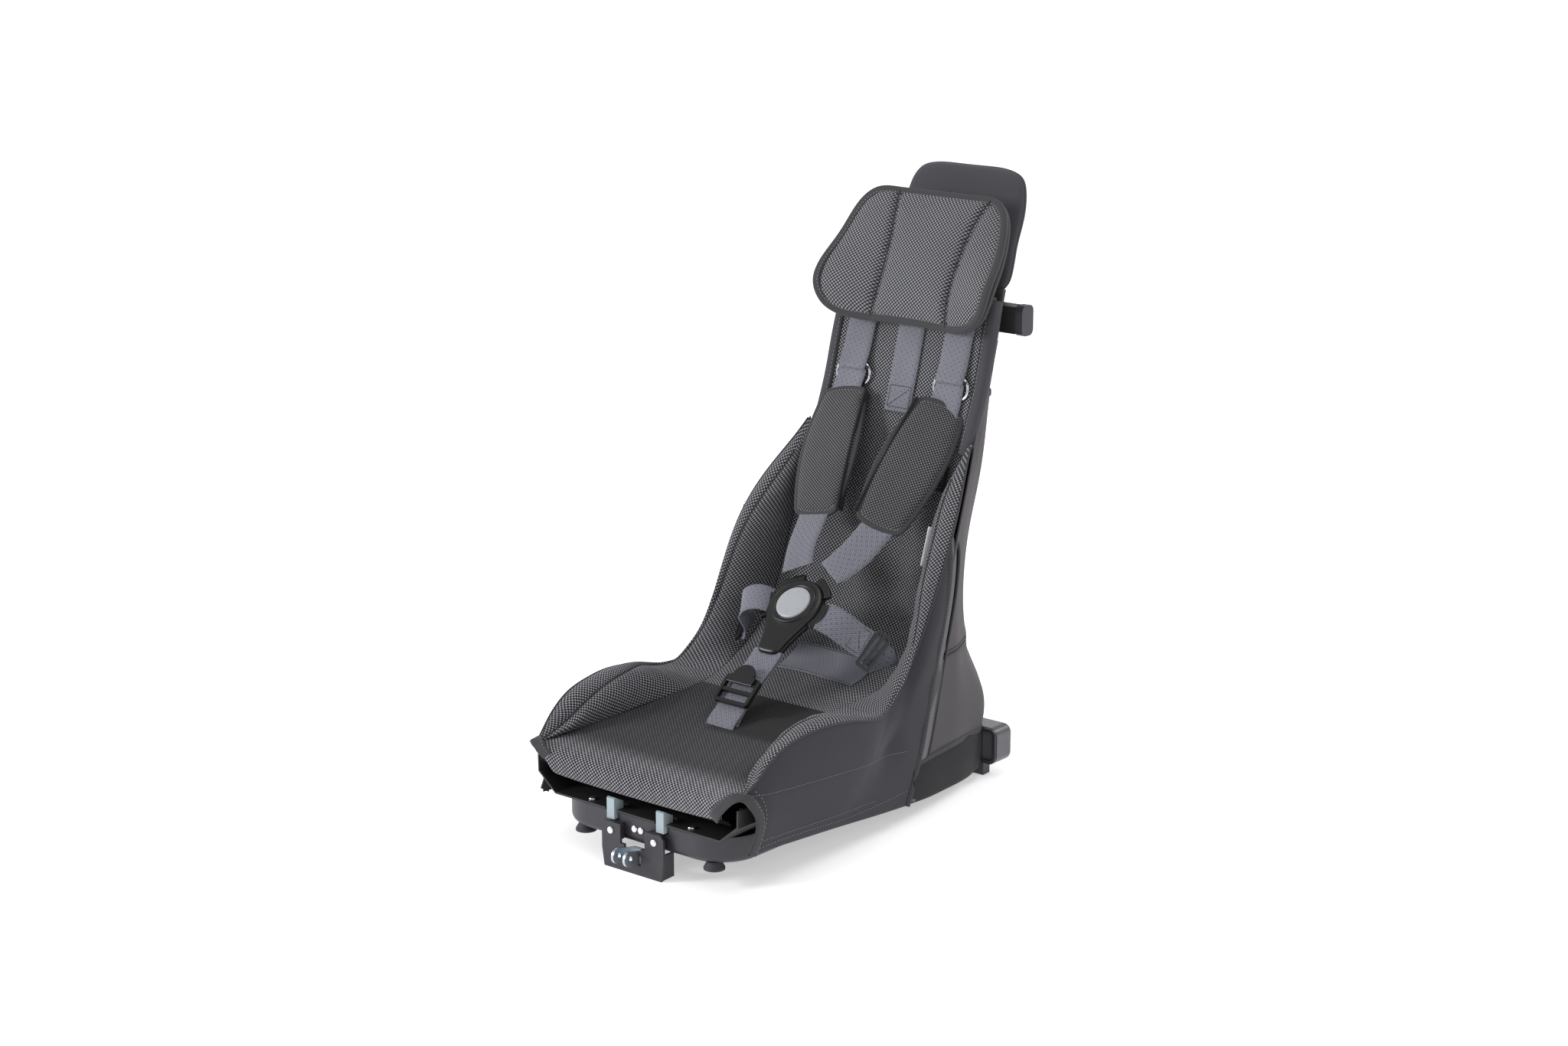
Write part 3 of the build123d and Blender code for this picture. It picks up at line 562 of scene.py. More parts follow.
# ---- seat bucket --------------------------------------------------------------------
# Right-hand lines of the bucket, station by station from the front corner to the point on
# the back: the outer seam, the inner seam of the top strip, and the valley beside the seat.
OUTER_SEAM = [(141, -3, 91), (146.5, 17, 106), (148, 32, 119), (150, 56, 132), (152, 86, 138.5),
              (155, 120, 140.5), (157, 158, 136.5), (157, 186, 130), (154, 207, 126.5),
              (150, 222, 126.5), (148, 233, 130), (144.5, 255, 145), (143, 275, 167), (145, 295, 203),
              (146, 317, 246), (143, 341, 285), (134, 369, 321), (121, 398, 354), (113, 418, 378)]
INNER_SEAM = [(140, -4, 92), (136.5, 16, 98.5), (131, 38, 111.5), (128.5, 56, 122.5), (127, 82, 134),
              (127, 108, 140.5), (131, 134, 142), (140, 157, 138), (149, 190, 129.5), (149, 213, 127),
              (147, 230, 130), (143, 252, 145.5), (140.5, 272.5, 168.5), (137.5, 291, 201),
              (131.5, 309.5, 246), (125, 334, 284.5), (114.5, 366, 322), (109.5, 394, 350),
              (110, 416, 374)]
VALLEY = [(138, -5, 90.5), (137, 12, 92.5), (131, 35, 95.2), (124.5, 59, 98.3), (116, 90, 102.5),
          (108, 122, 107.3), (99, 152, 111.8), (92, 182, 116.3), (89, 205, 119.5), (91, 228, 122.5),
          (97, 255, 127), (103, 284, 135.5), (104.5, 318, 156), (104.5, 345, 190), (104.5, 366.5, 240),
          (104.5, 384, 285), (104.5, 399.5, 321), (105, 411, 350), (106.5, 419, 373)]
STATIONS = np.arange(len(OUTER_SEAM))
HIP = 9                       # station where the thigh bolster meets the torso bolster


def bolster_lines(where):
    """The three bucket lines read at station numbers, each a cubic spline through its points."""
    return [cubic(STATIONS, line, where) for line in (OUTER_SEAM, INNER_SEAM, VALLEY)]


def bolster_grid(rows, first, last):
    """Bolster surface between two stations. Across: straight from outer to inner seam with a
    sine crown, then a cubic from inner seam to valley that starts along the strip and swells by
    a sine. Along: the three lines. Both crowns fade out at the front corner and the top point."""
    where = np.linspace(first, last, rows)
    outer, inner, valley = bolster_lines(where)
    fade = (ease(where, 0, 2.2) * (1 - ease(where, 15.5, 18)))[:, None]
    strip = np.linspace(0, 1, 13)[None, :]
    wall = np.linspace(0, 1, 31)[None, 1:]
    top = outer[:, None] + (inner - outer)[:, None] * strip[..., None]
    side = inner[:, None] + (valley - inner)[:, None] * wall[..., None]
    flat = np.concatenate([top, side], 1)
    normal = -normals_of(flat)
    hip = bump(where, HIP, 1.6)[:, None]
    crown = fade * (1 - 0.8 * hip) * 4.5 * np.sin(np.pi * strip) ** 0.8
    swell = fade * (1 - 1.1 * hip) * 8.0 * np.sin(np.pi * wall ** 0.8) ** 0.9
    height = np.concatenate([crown, swell], 1)
    across = row_lengths(flat)
    seam = across[:, 12:13]
    height = height - 1.3 * fade * bump(across, seam, 2.0)
    drawn = np.sin(where[:, None] * 5.1 + across * 0.035) * np.sin(where[:, None] * 2.3 + 1.0)
    share = np.clip((across - seam) / np.maximum(across[:, -1:] - seam, 1), 0, 1)
    height = height + 1.1 * drawn * fade * np.sin(np.pi * share)
    return flat + normal * height[..., None]


def seam_cord(name, path, radius, material, n=10):
    """Thin round seam line: a circle carried along the path."""
    side = np.cross(unit(np.gradient(path, axis=0)), [0.3, -0.6, 0.75])
    return finish_piece(surface(name, sweep(path, side, oval(2 * radius, 2 * radius, n, 1.0)),
                                wrap_cols=True, caps=True), material)


def build_bolsters():
    """Thigh and torso bolsters of both sides, with the dark seams that edge their top strips."""
    for side, hand in SIDES:
        for part, first, last in (("thigh", 0, HIP), ("torso", HIP, len(OUTER_SEAM) - 1)):
            grid = bolster_grid(110, first, last) * [hand, 1, 1]
            obj = surface(part + "_bolster_cloth_" + side, grid, flip=hand > 0)
            finish_piece(obj, MESH, thick=2.5,
                         stands_for=[part + "_bolster_" + side])
        where = np.linspace(0.15, 17.9, 260)
        outer, inner, _ = bolster_lines(where)
        for label, first, last in (("front_", 0.0, 8.2), ("upper_", 12.6, 16.8)):
            inner_cord = (inner + [0, -0.3, 0.3])[(where > first) & (where < last)] * [hand, 1, 1]
            seam_cord("strip_inner_seam_" + label + side, inner_cord, 0.55, DARK_THREAD)
        seam_cord("strip_outer_seam_" + side, (outer + [0.6, 0, 0]) * [hand, 1, 1], 1.1, BINDING)


# Stations of the seat pan from its lower front hem to the back seam: middle, then right edge.
PAN_MIDDLE = [(0, 6, 60), (0, -4, 61), (0, -8.5, 68), (0, -8, 78), (0, -2, 87), (0, 14, 92.3),
              (0, 36, 94.6), (0, 60, 97.6), (0, 90, 101.6), (0, 122, 106.4), (0, 152, 111.0),
              (0, 182, 115.6), (0, 206, 119.5)]
PAN_EDGE = [(110, 6, 61), (111, -4, 63), (117, -8.5, 70), (125, -9, 81), (136, -6, 90.5),
            (137, 12, 92.5), (131, 35, 95.2), (124.5, 59, 98.3), (116, 90, 102.5), (108, 122, 107.3),
            (99, 152, 111.8), (92, 182, 116.3), (89, 205, 119.5)]
# Stations of the back from that seam to its top edge: middle, then right edge.
BACK_MIDDLE = [(0, 206, 119.5), (0, 235, 124), (0, 262, 130), (0, 290, 138.5), (0, 322, 160),
               (0, 348, 190), (0, 371.5, 240), (0, 389.5, 285), (0, 403.5, 321), (0, 415, 350),
               (0, 425, 373), (0, 440.5, 420), (0, 455, 470), (0, 471.3, 528)]
BACK_EDGE = VALLEY[8:] + [(107, 438, 420), (107, 452.5, 470), (104.5, 469.5, 528)]


def slung(middle, edge, rows, cols, power, first=0.0, last=None):
    """Cloth slung between two edges: across, X runs straight from edge to edge while Y and Z
    go from the middle line to the edge line by a power of the distance from the middle."""
    knots = np.arange(len(middle))
    where = np.linspace(first, len(middle) - 1 if last is None else last, rows)
    centre, border = cubic(knots, middle, where), cubic(knots, edge, where)
    u = np.linspace(-1, 1, cols)[None, :, None]
    shape = centre[:, None] + (border - centre)[:, None] * [0, 1, 1] * abs(u) ** power
    shape[..., 0] = border[:, None, 0] * u[..., 0]
    return shape, where, u[..., 0]


def build_pan():
    """Seat pan: knit from the rolled front hem to the back seam, a little sunk in the middle,
    with its knit painted pale on the front roll as painted light and darker behind it as painted
    shade, a darker rear panel deepened by painted shade, and a black lining that hangs under the
    front roll."""
    grid, where, u = slung(PAN_MIDDLE, PAN_EDGE, 150, 90, 3.0)
    w = where[:, None]
    sink = -2.0 * (1 - u**2) * ease(w, 5, 8) * (1 - ease(w, 10, 12))
    soft = 0.7 * np.sin(w * 1.9 + 3 * u) * np.sin(2.6 * u + 0.5) * ease(w, 4.5, 6)
    grid = grid + np.stack([0 * w * u, 0 * w * u, sink + soft], -1)
    pan = surface("pan_cloth", grid)
    finish_piece(pan, KNIT, thick=3.0, stands_for=["pan_cover"])
    x = np.linspace(-118, 118, 40)[None, :]
    down = np.linspace(0, 1, 12)[:, None]
    lining = np.stack([x + 0 * down, 6 + 26 * down + 0 * x, 61.5 - 15.5 * down - 2 * (x / 118) ** 2], -1)
    obj = surface("front_lining", lining, flip=True)
    finish_piece(obj, LINING, thick=1.0)
    sewn_sheet(lining)


def build_back():
    """Back cloth from the pan seam to its top edge, drawn in soft upright folds low down; its plain
    edging and dashed stitching up both sides are built by build_back_edging."""
    grid, where, u = slung(BACK_MIDDLE, BACK_EDGE, 230, 96, 2.4)
    w = where[:, None]
    low = ease(w, 1.5, 4) * (1 - ease(w, 8, 10.5))
    folds = 2.1 * np.sin(7.5 * u + 0.5 * w + 0.6) * np.sin(0.75 * w + 1.8 * u)
    height = low * folds * (1 - u**4) + 0.8 * (1 - u**2) * ease(w, 1, 3)
    grid = grid + normals_of(grid) * height[..., None]
    cloth = surface("back_cloth", grid)
    finish_piece(cloth, MESH, thick=3.0, stands_for=["back_panel"])
    sewn_sheet(grid)
    return grid


def build_back_edging():
    """Plain softshell edging up both sides of the upper back: a rounded lip carried up the
    cloth's edge, with a seam line and dashes, and a top hem across the cloth's upper edge."""
    where = np.linspace(9.7, len(BACK_EDGE) - 1, 120)
    edge = cubic(np.arange(len(BACK_EDGE)), BACK_EDGE, where)
    lip = np.array([(-9.5, 0.6), (-7, 1.9), (-2, 2.2), (1.6, 1.2), (3.6, -1.6), (4.4, -6), (3.6, -11),
                    (1.0, -13), (-5, -12), (-8, -6), (-9, -1.5)])
    for side, hand in SIDES:
        line = edge * [hand, 1, 1]
        out = np.broadcast_to([hand * 1.0, 0, 0], line.shape)
        run = unit(np.gradient(line, axis=0))
        face = unit(np.cross(out, run)) * hand
        grid = line[:, None] + out[:, None] * lip[None, :, :1] + face[:, None] * lip[None, :, 1:]
        obj = surface("back_edging_" + side, grid, wrap_cols=True, caps=True, flip=hand > 0)
        finish_piece(obj, HEAD)
        seam = line - out * 9.8 + face * 0.5
        seam_cord("back_edge_seam_" + side, seam, 0.6, DARK_THREAD)
        stitches("back_edge_stitches_" + side, line - out * 6.6 + face * 2.1, face, THREAD, pitch=4.6)
    top = np.stack([np.linspace(-104, 104, 60), np.full(60, 471.0), np.full(60, 527.0)], -1)
    top[:, 1] -= 1.8 * (top[:, 0] / 104) ** 4
    band = sweep(top, np.broadcast_to([0, 0.274, 0.96], top.shape), oval(9, 6.0, 14))
    finish_piece(surface("back_top_hem", band, wrap_cols=True, caps=True), HEAD)


# ---- outer covers -------------------------------------------------------------------
SKIRT_FRONT = [(141, -3, 90.5), (148, 6, 82), (151, 12, 64), (151, 8, 47), (150, 0, 33)]
SKIRT_HEM = [(150, 0, 33), (151, 60, 29.2), (151.2, 151, 23), (150.5, 215, 17.5), (150, 266, 14)]
SLIT_LINE = [(143, 346, 290), (146.5, 341, 262), (150, 310, 150), (151, 287, 70), (150, 266, 14)]


def patch(bottom, top, left, right):
    """Coons patch between four edge curves: rows from bottom to top, columns from left to
    right. It is the sum of the two straight blends less the blend of the four corners."""
    rows, cols = len(left), len(bottom)
    v, u = np.linspace(0, 1, rows)[:, None, None], np.linspace(0, 1, cols)[None, :, None]
    across = left[:, None] * (1 - u) + right[:, None] * u
    up = bottom[None] * (1 - v) + top[None] * v
    corners = (bottom[0] * (1 - u) + bottom[-1] * u) * (1 - v) + (top[0] * (1 - u) + top[-1] * u) * v
    return across + up - corners


def tucked(points, hand):
    """Side points with the left side's lower front corner drawn in and back, as it hangs there."""
    if hand > 0:
        return points
    share = (1 - ease(points[..., 1], 10, 70)) * (1 - ease(points[..., 2], 70, 88))
    return points + share[..., None] * [-6.0, 7.0, 0.0]


def build_skirts():
    """Side skirts: a Coons patch between the outer seam, the slit, the hem and the curved front
    opening, with soft pulls from the hip and stitch lines along the front edge, the hem and the side."""
    cols, rows = 130, 60
    outer = cubic(STATIONS, OUTER_SEAM, np.linspace(0, 15.05, 400))
    top = evenly(outer, cols)
    bottom, left, right = (smooth_line(SKIRT_HEM, cols), smooth_line(SKIRT_FRONT[::-1], rows),
                           smooth_line(SLIT_LINE[::-1], rows))
    right[-1], left[-1] = top[-1], top[0]
    grid = patch(bottom, top, left, right)
    y, z = grid[..., 1], grid[..., 2]
    inside = np.minimum(np.linspace(0, 1, rows)[:, None], np.linspace(1, 0, rows)[:, None]) * 2
    pull = bump(y, 235, 45) * bump(z, 95, 38) * np.sin((y - 235) * 0.085 + (z - 95) * 0.06)
    swell = 2.2 * bump(y, 95, 80) * bump(z, 85, 40) - 3.0 * bump(y, 232, 26) * bump(z, 88, 34)
    grid[..., 0] += inside * (swell + 1.6 * pull + 0.5 * np.sin(y * 0.05 + z * 0.11))
    for side, hand in SIDES:
        skin = tucked(grid, hand) * [hand, 1, 1]
        obj = surface("skirt_" + side, skin, flip=hand < 0)
        finish_piece(obj, SKIRT, thick=1.8, stands_for=["side_skirt_" + side])
        sewn_sheet(skin)
        out = np.array([hand * 1.0, 0, 0])
        front, hem = skin[2:-3, 5] + out * 0.6, skin[4, 6:-6] + out * 0.6
        stitches("skirt_front_stitches_" + side, front, out + 0 * front, THREAD, pitch=4.4, thread=0.5)
        stitches("skirt_hem_stitches_" + side, hem, out + 0 * hem, THREAD, pitch=4.4, thread=0.4)
        pocket = smooth_line([(152, 14, 44), (152.5, 90, 41), (152.5, 150, 38), (152, 205, 36)], 60)
        seam = smooth_line([(151.0, 6, 93), (152.5, 100, 89), (153, 170, 84), (151.5, 258, 77)], 80)
        for label, line in (("pocket_line_", pocket), ("body_line_", seam)):
            line = project(line, tucked(grid, hand)) * [hand, 1, 1] + out * 0.35
            stitches("skirt_" + label + side, line, out + 0 * line, THREAD, pitch=3.6, length=2.6,
                     thread=0.32)


def project(line, grid):
    """Points of a side line moved in X onto the nearest point of a grid surface."""
    flat = grid.reshape(-1, 3)
    near = ((line[:, None, 1:] - flat[None, :, 1:]) ** 2).sum(-1).argmin(1)
    moved = line.copy()
    moved[:, 0] = flat[near, 0]
    return moved


def build_front_hems():
    """Bound edges of both front corners: a flat rounded band carried from under the front roll,
    up over the corner, and down the skirt's front opening, with a dashed line on its inner side."""
    places = [(113, -5.5, 63), (118, -9.5, 70), (127, -10.5, 80), (137, -9, 89.5), (145, -5.5, 93),
              (149.5, 0, 89), (152, 8, 78), (153, 12, 64), (152.5, 8, 47), (151.5, 0.5, 33)]
    inward = [(-1, 0.1, 0.5), (-1, 0, 0.45), (-0.9, 0.1, 0.5), (-0.55, 0.5, 0.65), (-0.25, 0.95, 0.3),
              (0.05, 1, 0.1), (0, 1, 0), (0, 1, 0), (0, 1, -0.1), (0, 1, 0.05)]
    knots = np.arange(len(places))
    where = np.linspace(0, len(places) - 1, 110)
    path, reach = cubic(knots, places, where), unit(cubic(knots, inward, where))
    for side, hand in SIDES:
        line, reach_in = tucked(path, hand) * [hand, 1, 1], reach * [hand, 1, 1]
        band = sweep(line + reach_in * 4.0, reach_in, oval(12.5, 3.4, 16))
        obj = surface("front_hem_" + side, band, wrap_cols=True, caps=True)
        finish_piece(obj, BINDING)
        run = unit(np.gradient(line, axis=0))
        face = unit(np.cross(reach_in, run)) * -hand
        stitches("front_hem_stitches_" + side, line + reach_in * 8.2 + face * 1.45, face, THREAD, pitch=4.4)


# Rear cover, from its lower edge up: height, then (X, Y) of front edge, side, corner and back.
REAR_SHAPE = [(56, (150, 283), (148, 350), (130, 422), (104, 452)),
              (75, (150.5, 290), (148, 355), (131, 426), (104, 456)),
              (100, (150.5, 297.5), (147, 358), (130, 424), (102, 458)),
              (150, (150.5, 311), (146, 356), (129, 398), (76, 458)),
              (164, (150, 315), (145, 357), (128, 396), (72, 460)),
              (200, (149.5, 325), (143.5, 357), (127, 390), (63, 463)),
              (262, (147, 342), (138, 368), (119, 406), (54, 470)),
              (321, (134.5, 378), (128, 398), (112, 433), (58, 485)),
              (378, (113.5, 425), (112, 436), (104, 457), (60, 500)),
              (425, (107, 441), (106, 453), (100, 473), (56, 509))]


def build_rear_cover():
    """Rear cover: at each height a line of straight runs round the back, rounded by averaging
    each point with its neighbours; between heights cubic splines; a drawn-in seam across it,
    hems and pull folds."""
    heights = np.array([row[0] for row in REAR_SHAPE], float)
    half = np.array([row[1:] for row in REAR_SHAPE], float)
    z = np.linspace(heights[0], heights[-1], 150)
    right = cubic(heights, half, z)
    middle = np.stack([np.zeros((len(z), 1)), right[:, 3:, 1] + 3.0], -1)
    ring = np.concatenate([right, middle, right[:, ::-1] * [-1, 1]], 1)
    u = np.linspace(0, 8, 193)
    span, share = np.minimum(u.astype(int), 7), (u - np.minimum(u.astype(int), 7))[None, :, None]
    bent = ring[:, span] * (1 - share) + ring[:, span + 1] * share
    for _ in range(26):
        bent[:, 1:-1] = (bent[:, :-2] + 2 * bent[:, 1:-1] + bent[:, 2:]) / 4
    grid = np.concatenate([bent, np.broadcast_to(z[:, None, None], bent.shape[:2] + (1,))], -1)
    normal = normals_of(grid)
    seam_height = 163.0 + 3.0 * np.cos(u * np.pi / 4)[None, :]
    dent = -1.4 * bump(grid[..., 2], seam_height, 3.0)
    pull = 1.2 * np.sin(grid[..., 2] * 0.045 + u * 2.2) * np.sin(u * np.pi / 8)[None, :]
    low = 1 - ease(grid[..., 2], 56, 100)
    arch = sum(5.0 * np.sin(np.clip(way / 2, 0, 1) * np.pi)[None, :] * low for way in (u, 8 - u))
    grid = grid + normal * (dent + pull)[..., None]
    grid[..., 2] += arch
    obj = surface("rear_cover_cloth", grid)
    finish_piece(obj, REAR, thick=2.0,
                 stands_for=["rear_cover", "rear_cover_left", "rear_cover_right"])
    sewn_sheet(grid)
    z_board = np.linspace(170, 530, 40)
    half = 42 + 34 * ease(z_board, 440, 500)
    t = np.linspace(0, 1, 25)[None, :]
    face = [(t * 2 - 1) * half[:, None], back_y(z_board)[:, None] + 52.0 + 0 * t, z_board[:, None] + 0 * t]
    board = surface("rear_board", np.stack(face, -1))
    finish_piece(board, BOARD, thick=6.0, stands_for=["back_board"])
    row = int(np.argmin(abs(z - 164)))
    line = grid[row] + normal[row] * 0.9
    seam_cord("rear_cover_seam", line[2:-2], 0.55, DARK_THREAD)
    stitches("rear_seam_stitches", (grid[row + 2] + normal[row + 2] * 0.5)[2:-2], normal[row][2:-2],
             DARK_THREAD, pitch=3.4, thread=0.5)
    for label, at in (("lower", 0), ("upper", -1)):
        hem = grid[at] + normal[at] * -0.6
        side = np.broadcast_to([0, 0, 1.0], hem.shape)
        band = sweep(hem, side, oval(7.0, 4.0, 12))
        finish_piece(surface("rear_cover_hem_" + label, band, wrap_cols=True, caps=True), BINDING)


def build_slit():
    """Slit between skirt and rear cover on both sides: the skirt's bound rear edge, a pale tape,
    a black strip of painted shadow for the shade in the gap, and the rear cover's piped edge, each
    carried down the slit line with its top end sunk into the cloth."""
    line = smooth_line(SLIT_LINE, 90)
    down = np.linspace(0, 1, 90)[:, None]
    for side, hand in SIDES:
        path = line * [hand, 1, 1]
        back = np.broadcast_to([0, 1.0, 0.25], path.shape)
        out = np.array([hand * 1.0, 0, 0])
        pieces = [("slit_binding_", -2.5 - 1.0 * down, 0.1, (7.5, 2.4), BINDING),
                  ("slit_tape_", 3.6 + 3.0 * down, -1.0, (9.0, 1.8), LIGHT_TAPE),
                  # The third strip is black lining cloth, a painted shadow where the gap between the panels
                  # is in shade.
                  ("slit_gap_shadow_", 9.5 + 3.0 * down, -2.4, (10.0, 1.6), LINING),
                  ("slit_piping_", 14.0 + 3.5 * down, -1.2, (2.6, 2.6), BINDING)]
        for label, shift, lift, size, cloth in pieces:
            at = path + back * shift + out * (lift - 3.5 * (1 - ease(down, 0.0, 0.07)))
            band = sweep(at, back, oval(size[0], size[1], 14))
            obj = surface(label + side, band, wrap_cols=True, caps=True)
            finish_piece(obj, cloth)
        stitches("slit_stitches_" + side, path - back * 4.6 + out * 2.4, out + 0 * path, DARK_THREAD,
                 pitch=4.0)
        build_rail_cloth(side, hand)


def build_rail_cloth(side, hand):
    """Black cloth over the base behind the slit: straight from its foot line to its upper line,
    swollen by a sine between them."""
    upper = smooth_line([(150.6, 272, 56), (150, 300, 59), (146.5, 345, 62.5), (138, 392, 61),
                         (130, 421, 57)], 70)
    foot = smooth_line([(149, 268, 14), (148.5, 300, 12.5), (145.5, 345, 11.5), (137.5, 392, 11),
                        (129, 421, 11)], 70)
    share = np.linspace(0, 1, 14)[:, None, None]
    wall = foot[None] * (1 - share) + upper[None] * share
    wall[..., 0] += 2.0 * np.sin(np.pi * share[..., 0]) + 0.5 * np.sin(wall[..., 1] * 0.07)
    obj = surface("rail_cloth_" + side, wall * [hand, 1, 1], flip=hand < 0)
    finish_piece(obj, RAIL, thick=2.0, stands_for=["rail_cover_" + side])
    sewn_sheet(wall)
    seam = (upper + [0.9, 0, -3.5]) * [hand, 1, 1]
    stitches("rail_stitches_" + side, seam, [hand * 1.0, 0, 0] + 0 * seam, DARK_THREAD, pitch=4.0)


# ---- headboard and head cushion -----------------------------------------------------
HEADBOARD_BEHIND = 58.5


def build_headboard():
    """Headboard slip: an outline with round upper corners whose half thickness falls towards the
    edge by a listed profile, with a seam line round the edge."""
    outline = [(-76, 533), (-78.5, 575), (-80.5, 600), (-79, 628), (-70, 648), (-52, 655), (-20, 656.5),
               (20, 656.5), (52, 655), (70, 648), (79, 628), (80.5, 600), (78.5, 575), (76, 533), (0, 531)]
    ring = loop_line([(x, 0, z) for x, z in outline], 140)[:, [0, 2]]
    centre = np.array([0, 590.0])
    profile = np.array([(0.0, 7.6), (0.5, 7.6), (0.9, 7.4), (0.965, 6.6), (0.99, 4.6), (1.0, 1.6),
                        (1.004, 0.0), (1.0, -1.6), (0.99, -4.6), (0.965, -6.6), (0.9, -7.4), (0.5, -7.6),
                        (0.0, -7.6)])
    xz = centre + (ring - centre)[None] * profile[:, None, :1]
    middle_y = back_y(xz[..., 1]) + HEADBOARD_BEHIND
    y = middle_y - profile[:, 1][:, None]
    grid = np.stack([xz[..., 0], y, xz[..., 1]], -1)
    grid[..., 1] += 0.35 * np.sin(grid[..., 0] * 0.06) * np.sin(grid[..., 2] * 0.05)
    obj = surface("headboard_slip", grid, wrap_cols=True, closed=True)
    finish_piece(obj, HEAD, stands_for=["headboard_cover"])
    edge = np.concatenate([grid[6], grid[6][:1]])
    seam_cord("headboard_seam", edge[:-9], 0.6, BINDING)


CUSHION_AT = np.array([0.0, 478.0, 562.0])
CUSHION_LEAN = math.radians(25.0)
CUSHION_UP = np.array([0.0, math.sin(CUSHION_LEAN), math.cos(CUSHION_LEAN)])
CUSHION_OUT = np.array([0.0, -math.cos(CUSHION_LEAN), math.sin(CUSHION_LEAN)])
CUSHION_EDGE = [(0, 76.5), (35, 76.5), (62, 76.5), (82, 73.5), (96, 62), (105, 44), (111, 20), (117, -8),
                (120, -32), (118.5, -52), (108, -69), (88, -78), (50, -78.5), (0, -77)]


def cushion_point(x, up, out):
    """Seat-frame points from across, up and out of the head cushion's own plane."""
    x, up, out = np.broadcast_arrays(np.asarray(x, float), up, out)
    place = CUSHION_AT + up[..., None] * CUSHION_UP + out[..., None] * CUSHION_OUT
    place[..., 0] += x
    return place


def crease_place(hand, up):
    """How far a crease lies from the middle: on the right 55 + 0.103 up + 0.0019 up^2, on the
    left 43 + 0.05 up + 0.0012 up^2, so both curve outwards towards the upper corners."""
    right = 55.0 + 0.103 * up + 0.0019 * up**2
    left = 43.0 + 0.05 * up + 0.0012 * up**2
    return np.where(hand > 0, right, left)


def wing_rise(x, up):
    """How far the wings come forward: the distance outside the crease times a slope that is
    steepest a little below the middle."""
    slope = (0.14 + 0.26 * bump(up, -42, 46)) * np.where(x > 0, 1.0, 0.84)
    return np.maximum(abs(x) - crease_place(x, up), 0) * slope


def cushion_outline(n, grow=0.0):
    """Closed outline of the head cushion in its own plane, n points, moved outwards by grow."""
    right = np.array(CUSHION_EDGE, float)
    whole = np.concatenate([right, (right * [-1, 1])[-2:0:-1]])
    flat = loop_line(np.concatenate([whole, np.zeros((len(whole), 1))], 1), n)[:, :2]
    return moved_sideways(flat, -grow)


PRESSURE = 4.0
CUSHION_VOXEL, CUSHION_SWELL = 0.0042, 0.007
PAD_VOXEL, PAD_SWELL = 0.004, 0.005


def inflate(obj, most, pinned, frames=20):
    """Blow up a closed mesh as a stuffed cushion: cloth under inner pressure with no gravity,
    pinned where asked; no point moves further than most metres. The cloth is then taken off."""
    count = len(obj.data.vertices)
    start = np.empty(count * 3)
    obj.data.vertices.foreach_get("co", start)
    start = start.reshape(-1, 3)
    group = obj.vertex_groups.new(name="sewn")
    for weight in (0.5, 1.0):
        chosen = np.nonzero(pinned(start) >= weight)[0]
        group.add(chosen.tolist(), weight, "REPLACE")
    cloth = obj.modifiers.new("Cloth", "CLOTH")
    cloth.settings.quality = 6
    cloth.settings.mass = 0.3
    cloth.settings.use_pressure = True
    cloth.settings.uniform_pressure_force = PRESSURE
    cloth.settings.effector_weights.gravity = 0.0
    cloth.settings.vertex_group_mass = "sewn"
    cloth.point_cache.frame_start, cloth.point_cache.frame_end = 1, frames
    for step in range(1, frames + 1):
        bpy.context.scene.frame_set(step)
    solved = obj.evaluated_get(bpy.context.evaluated_depsgraph_get()).to_mesh()
    end = np.empty(count * 3)
    solved.vertices.foreach_get("co", end)
    move = end.reshape(-1, 3) - start
    far = np.linalg.norm(move, axis=1, keepdims=True)
    end = start + move * np.minimum(1.0, most / np.maximum(far, 1e-9))
    obj.modifiers.remove(cloth)
    obj.vertex_groups.clear()
    obj.data.vertices.foreach_set("co", end.ravel())
    bpy.context.scene.frame_set(1)


def remesh(obj, size):
    """Voxel remesh of a closed mesh."""
    obj.data.remesh_voxel_size = size
    bpy.context.view_layer.objects.active = obj
    obj.select_set(True)
    bpy.ops.object.voxel_remesh()
    obj.select_set(False)


def read_points(obj):
    """Vertex places of a mesh, in metres."""
    flat = np.empty(len(obj.data.vertices) * 3)
    obj.data.vertices.foreach_get("co", flat)
    return flat.reshape(-1, 3)


def flat_uv(obj, origin, across, up):
    """UV of a mesh by laying it flat: its places along two directions of the row frame."""
    local = (read_points(obj) - origin) @ np.stack([across, up], 1)
    loops = np.empty(len(obj.data.loops), int)
    obj.data.loops.foreach_get("vertex_index", loops)
    layer = obj.data.uv_layers.get("UVMap") or obj.data.uv_layers.new(name="UVMap")
    layer.data.foreach_set("uv", local[loops].astype(np.float32).ravel())


def local_frame(points_m, origin, axes):
    """Row-frame metres in a piece's own frame, in millimetres."""
    return (points_m - stand(origin)) @ turn(np.array(axes)).T / MM


def outline_distance(points, outline):
    """Distance from each point to a closed outline, point by point."""
    gap = points[:, None, :] - outline[None]
    return np.sqrt((gap**2).sum(-1)).min(1)


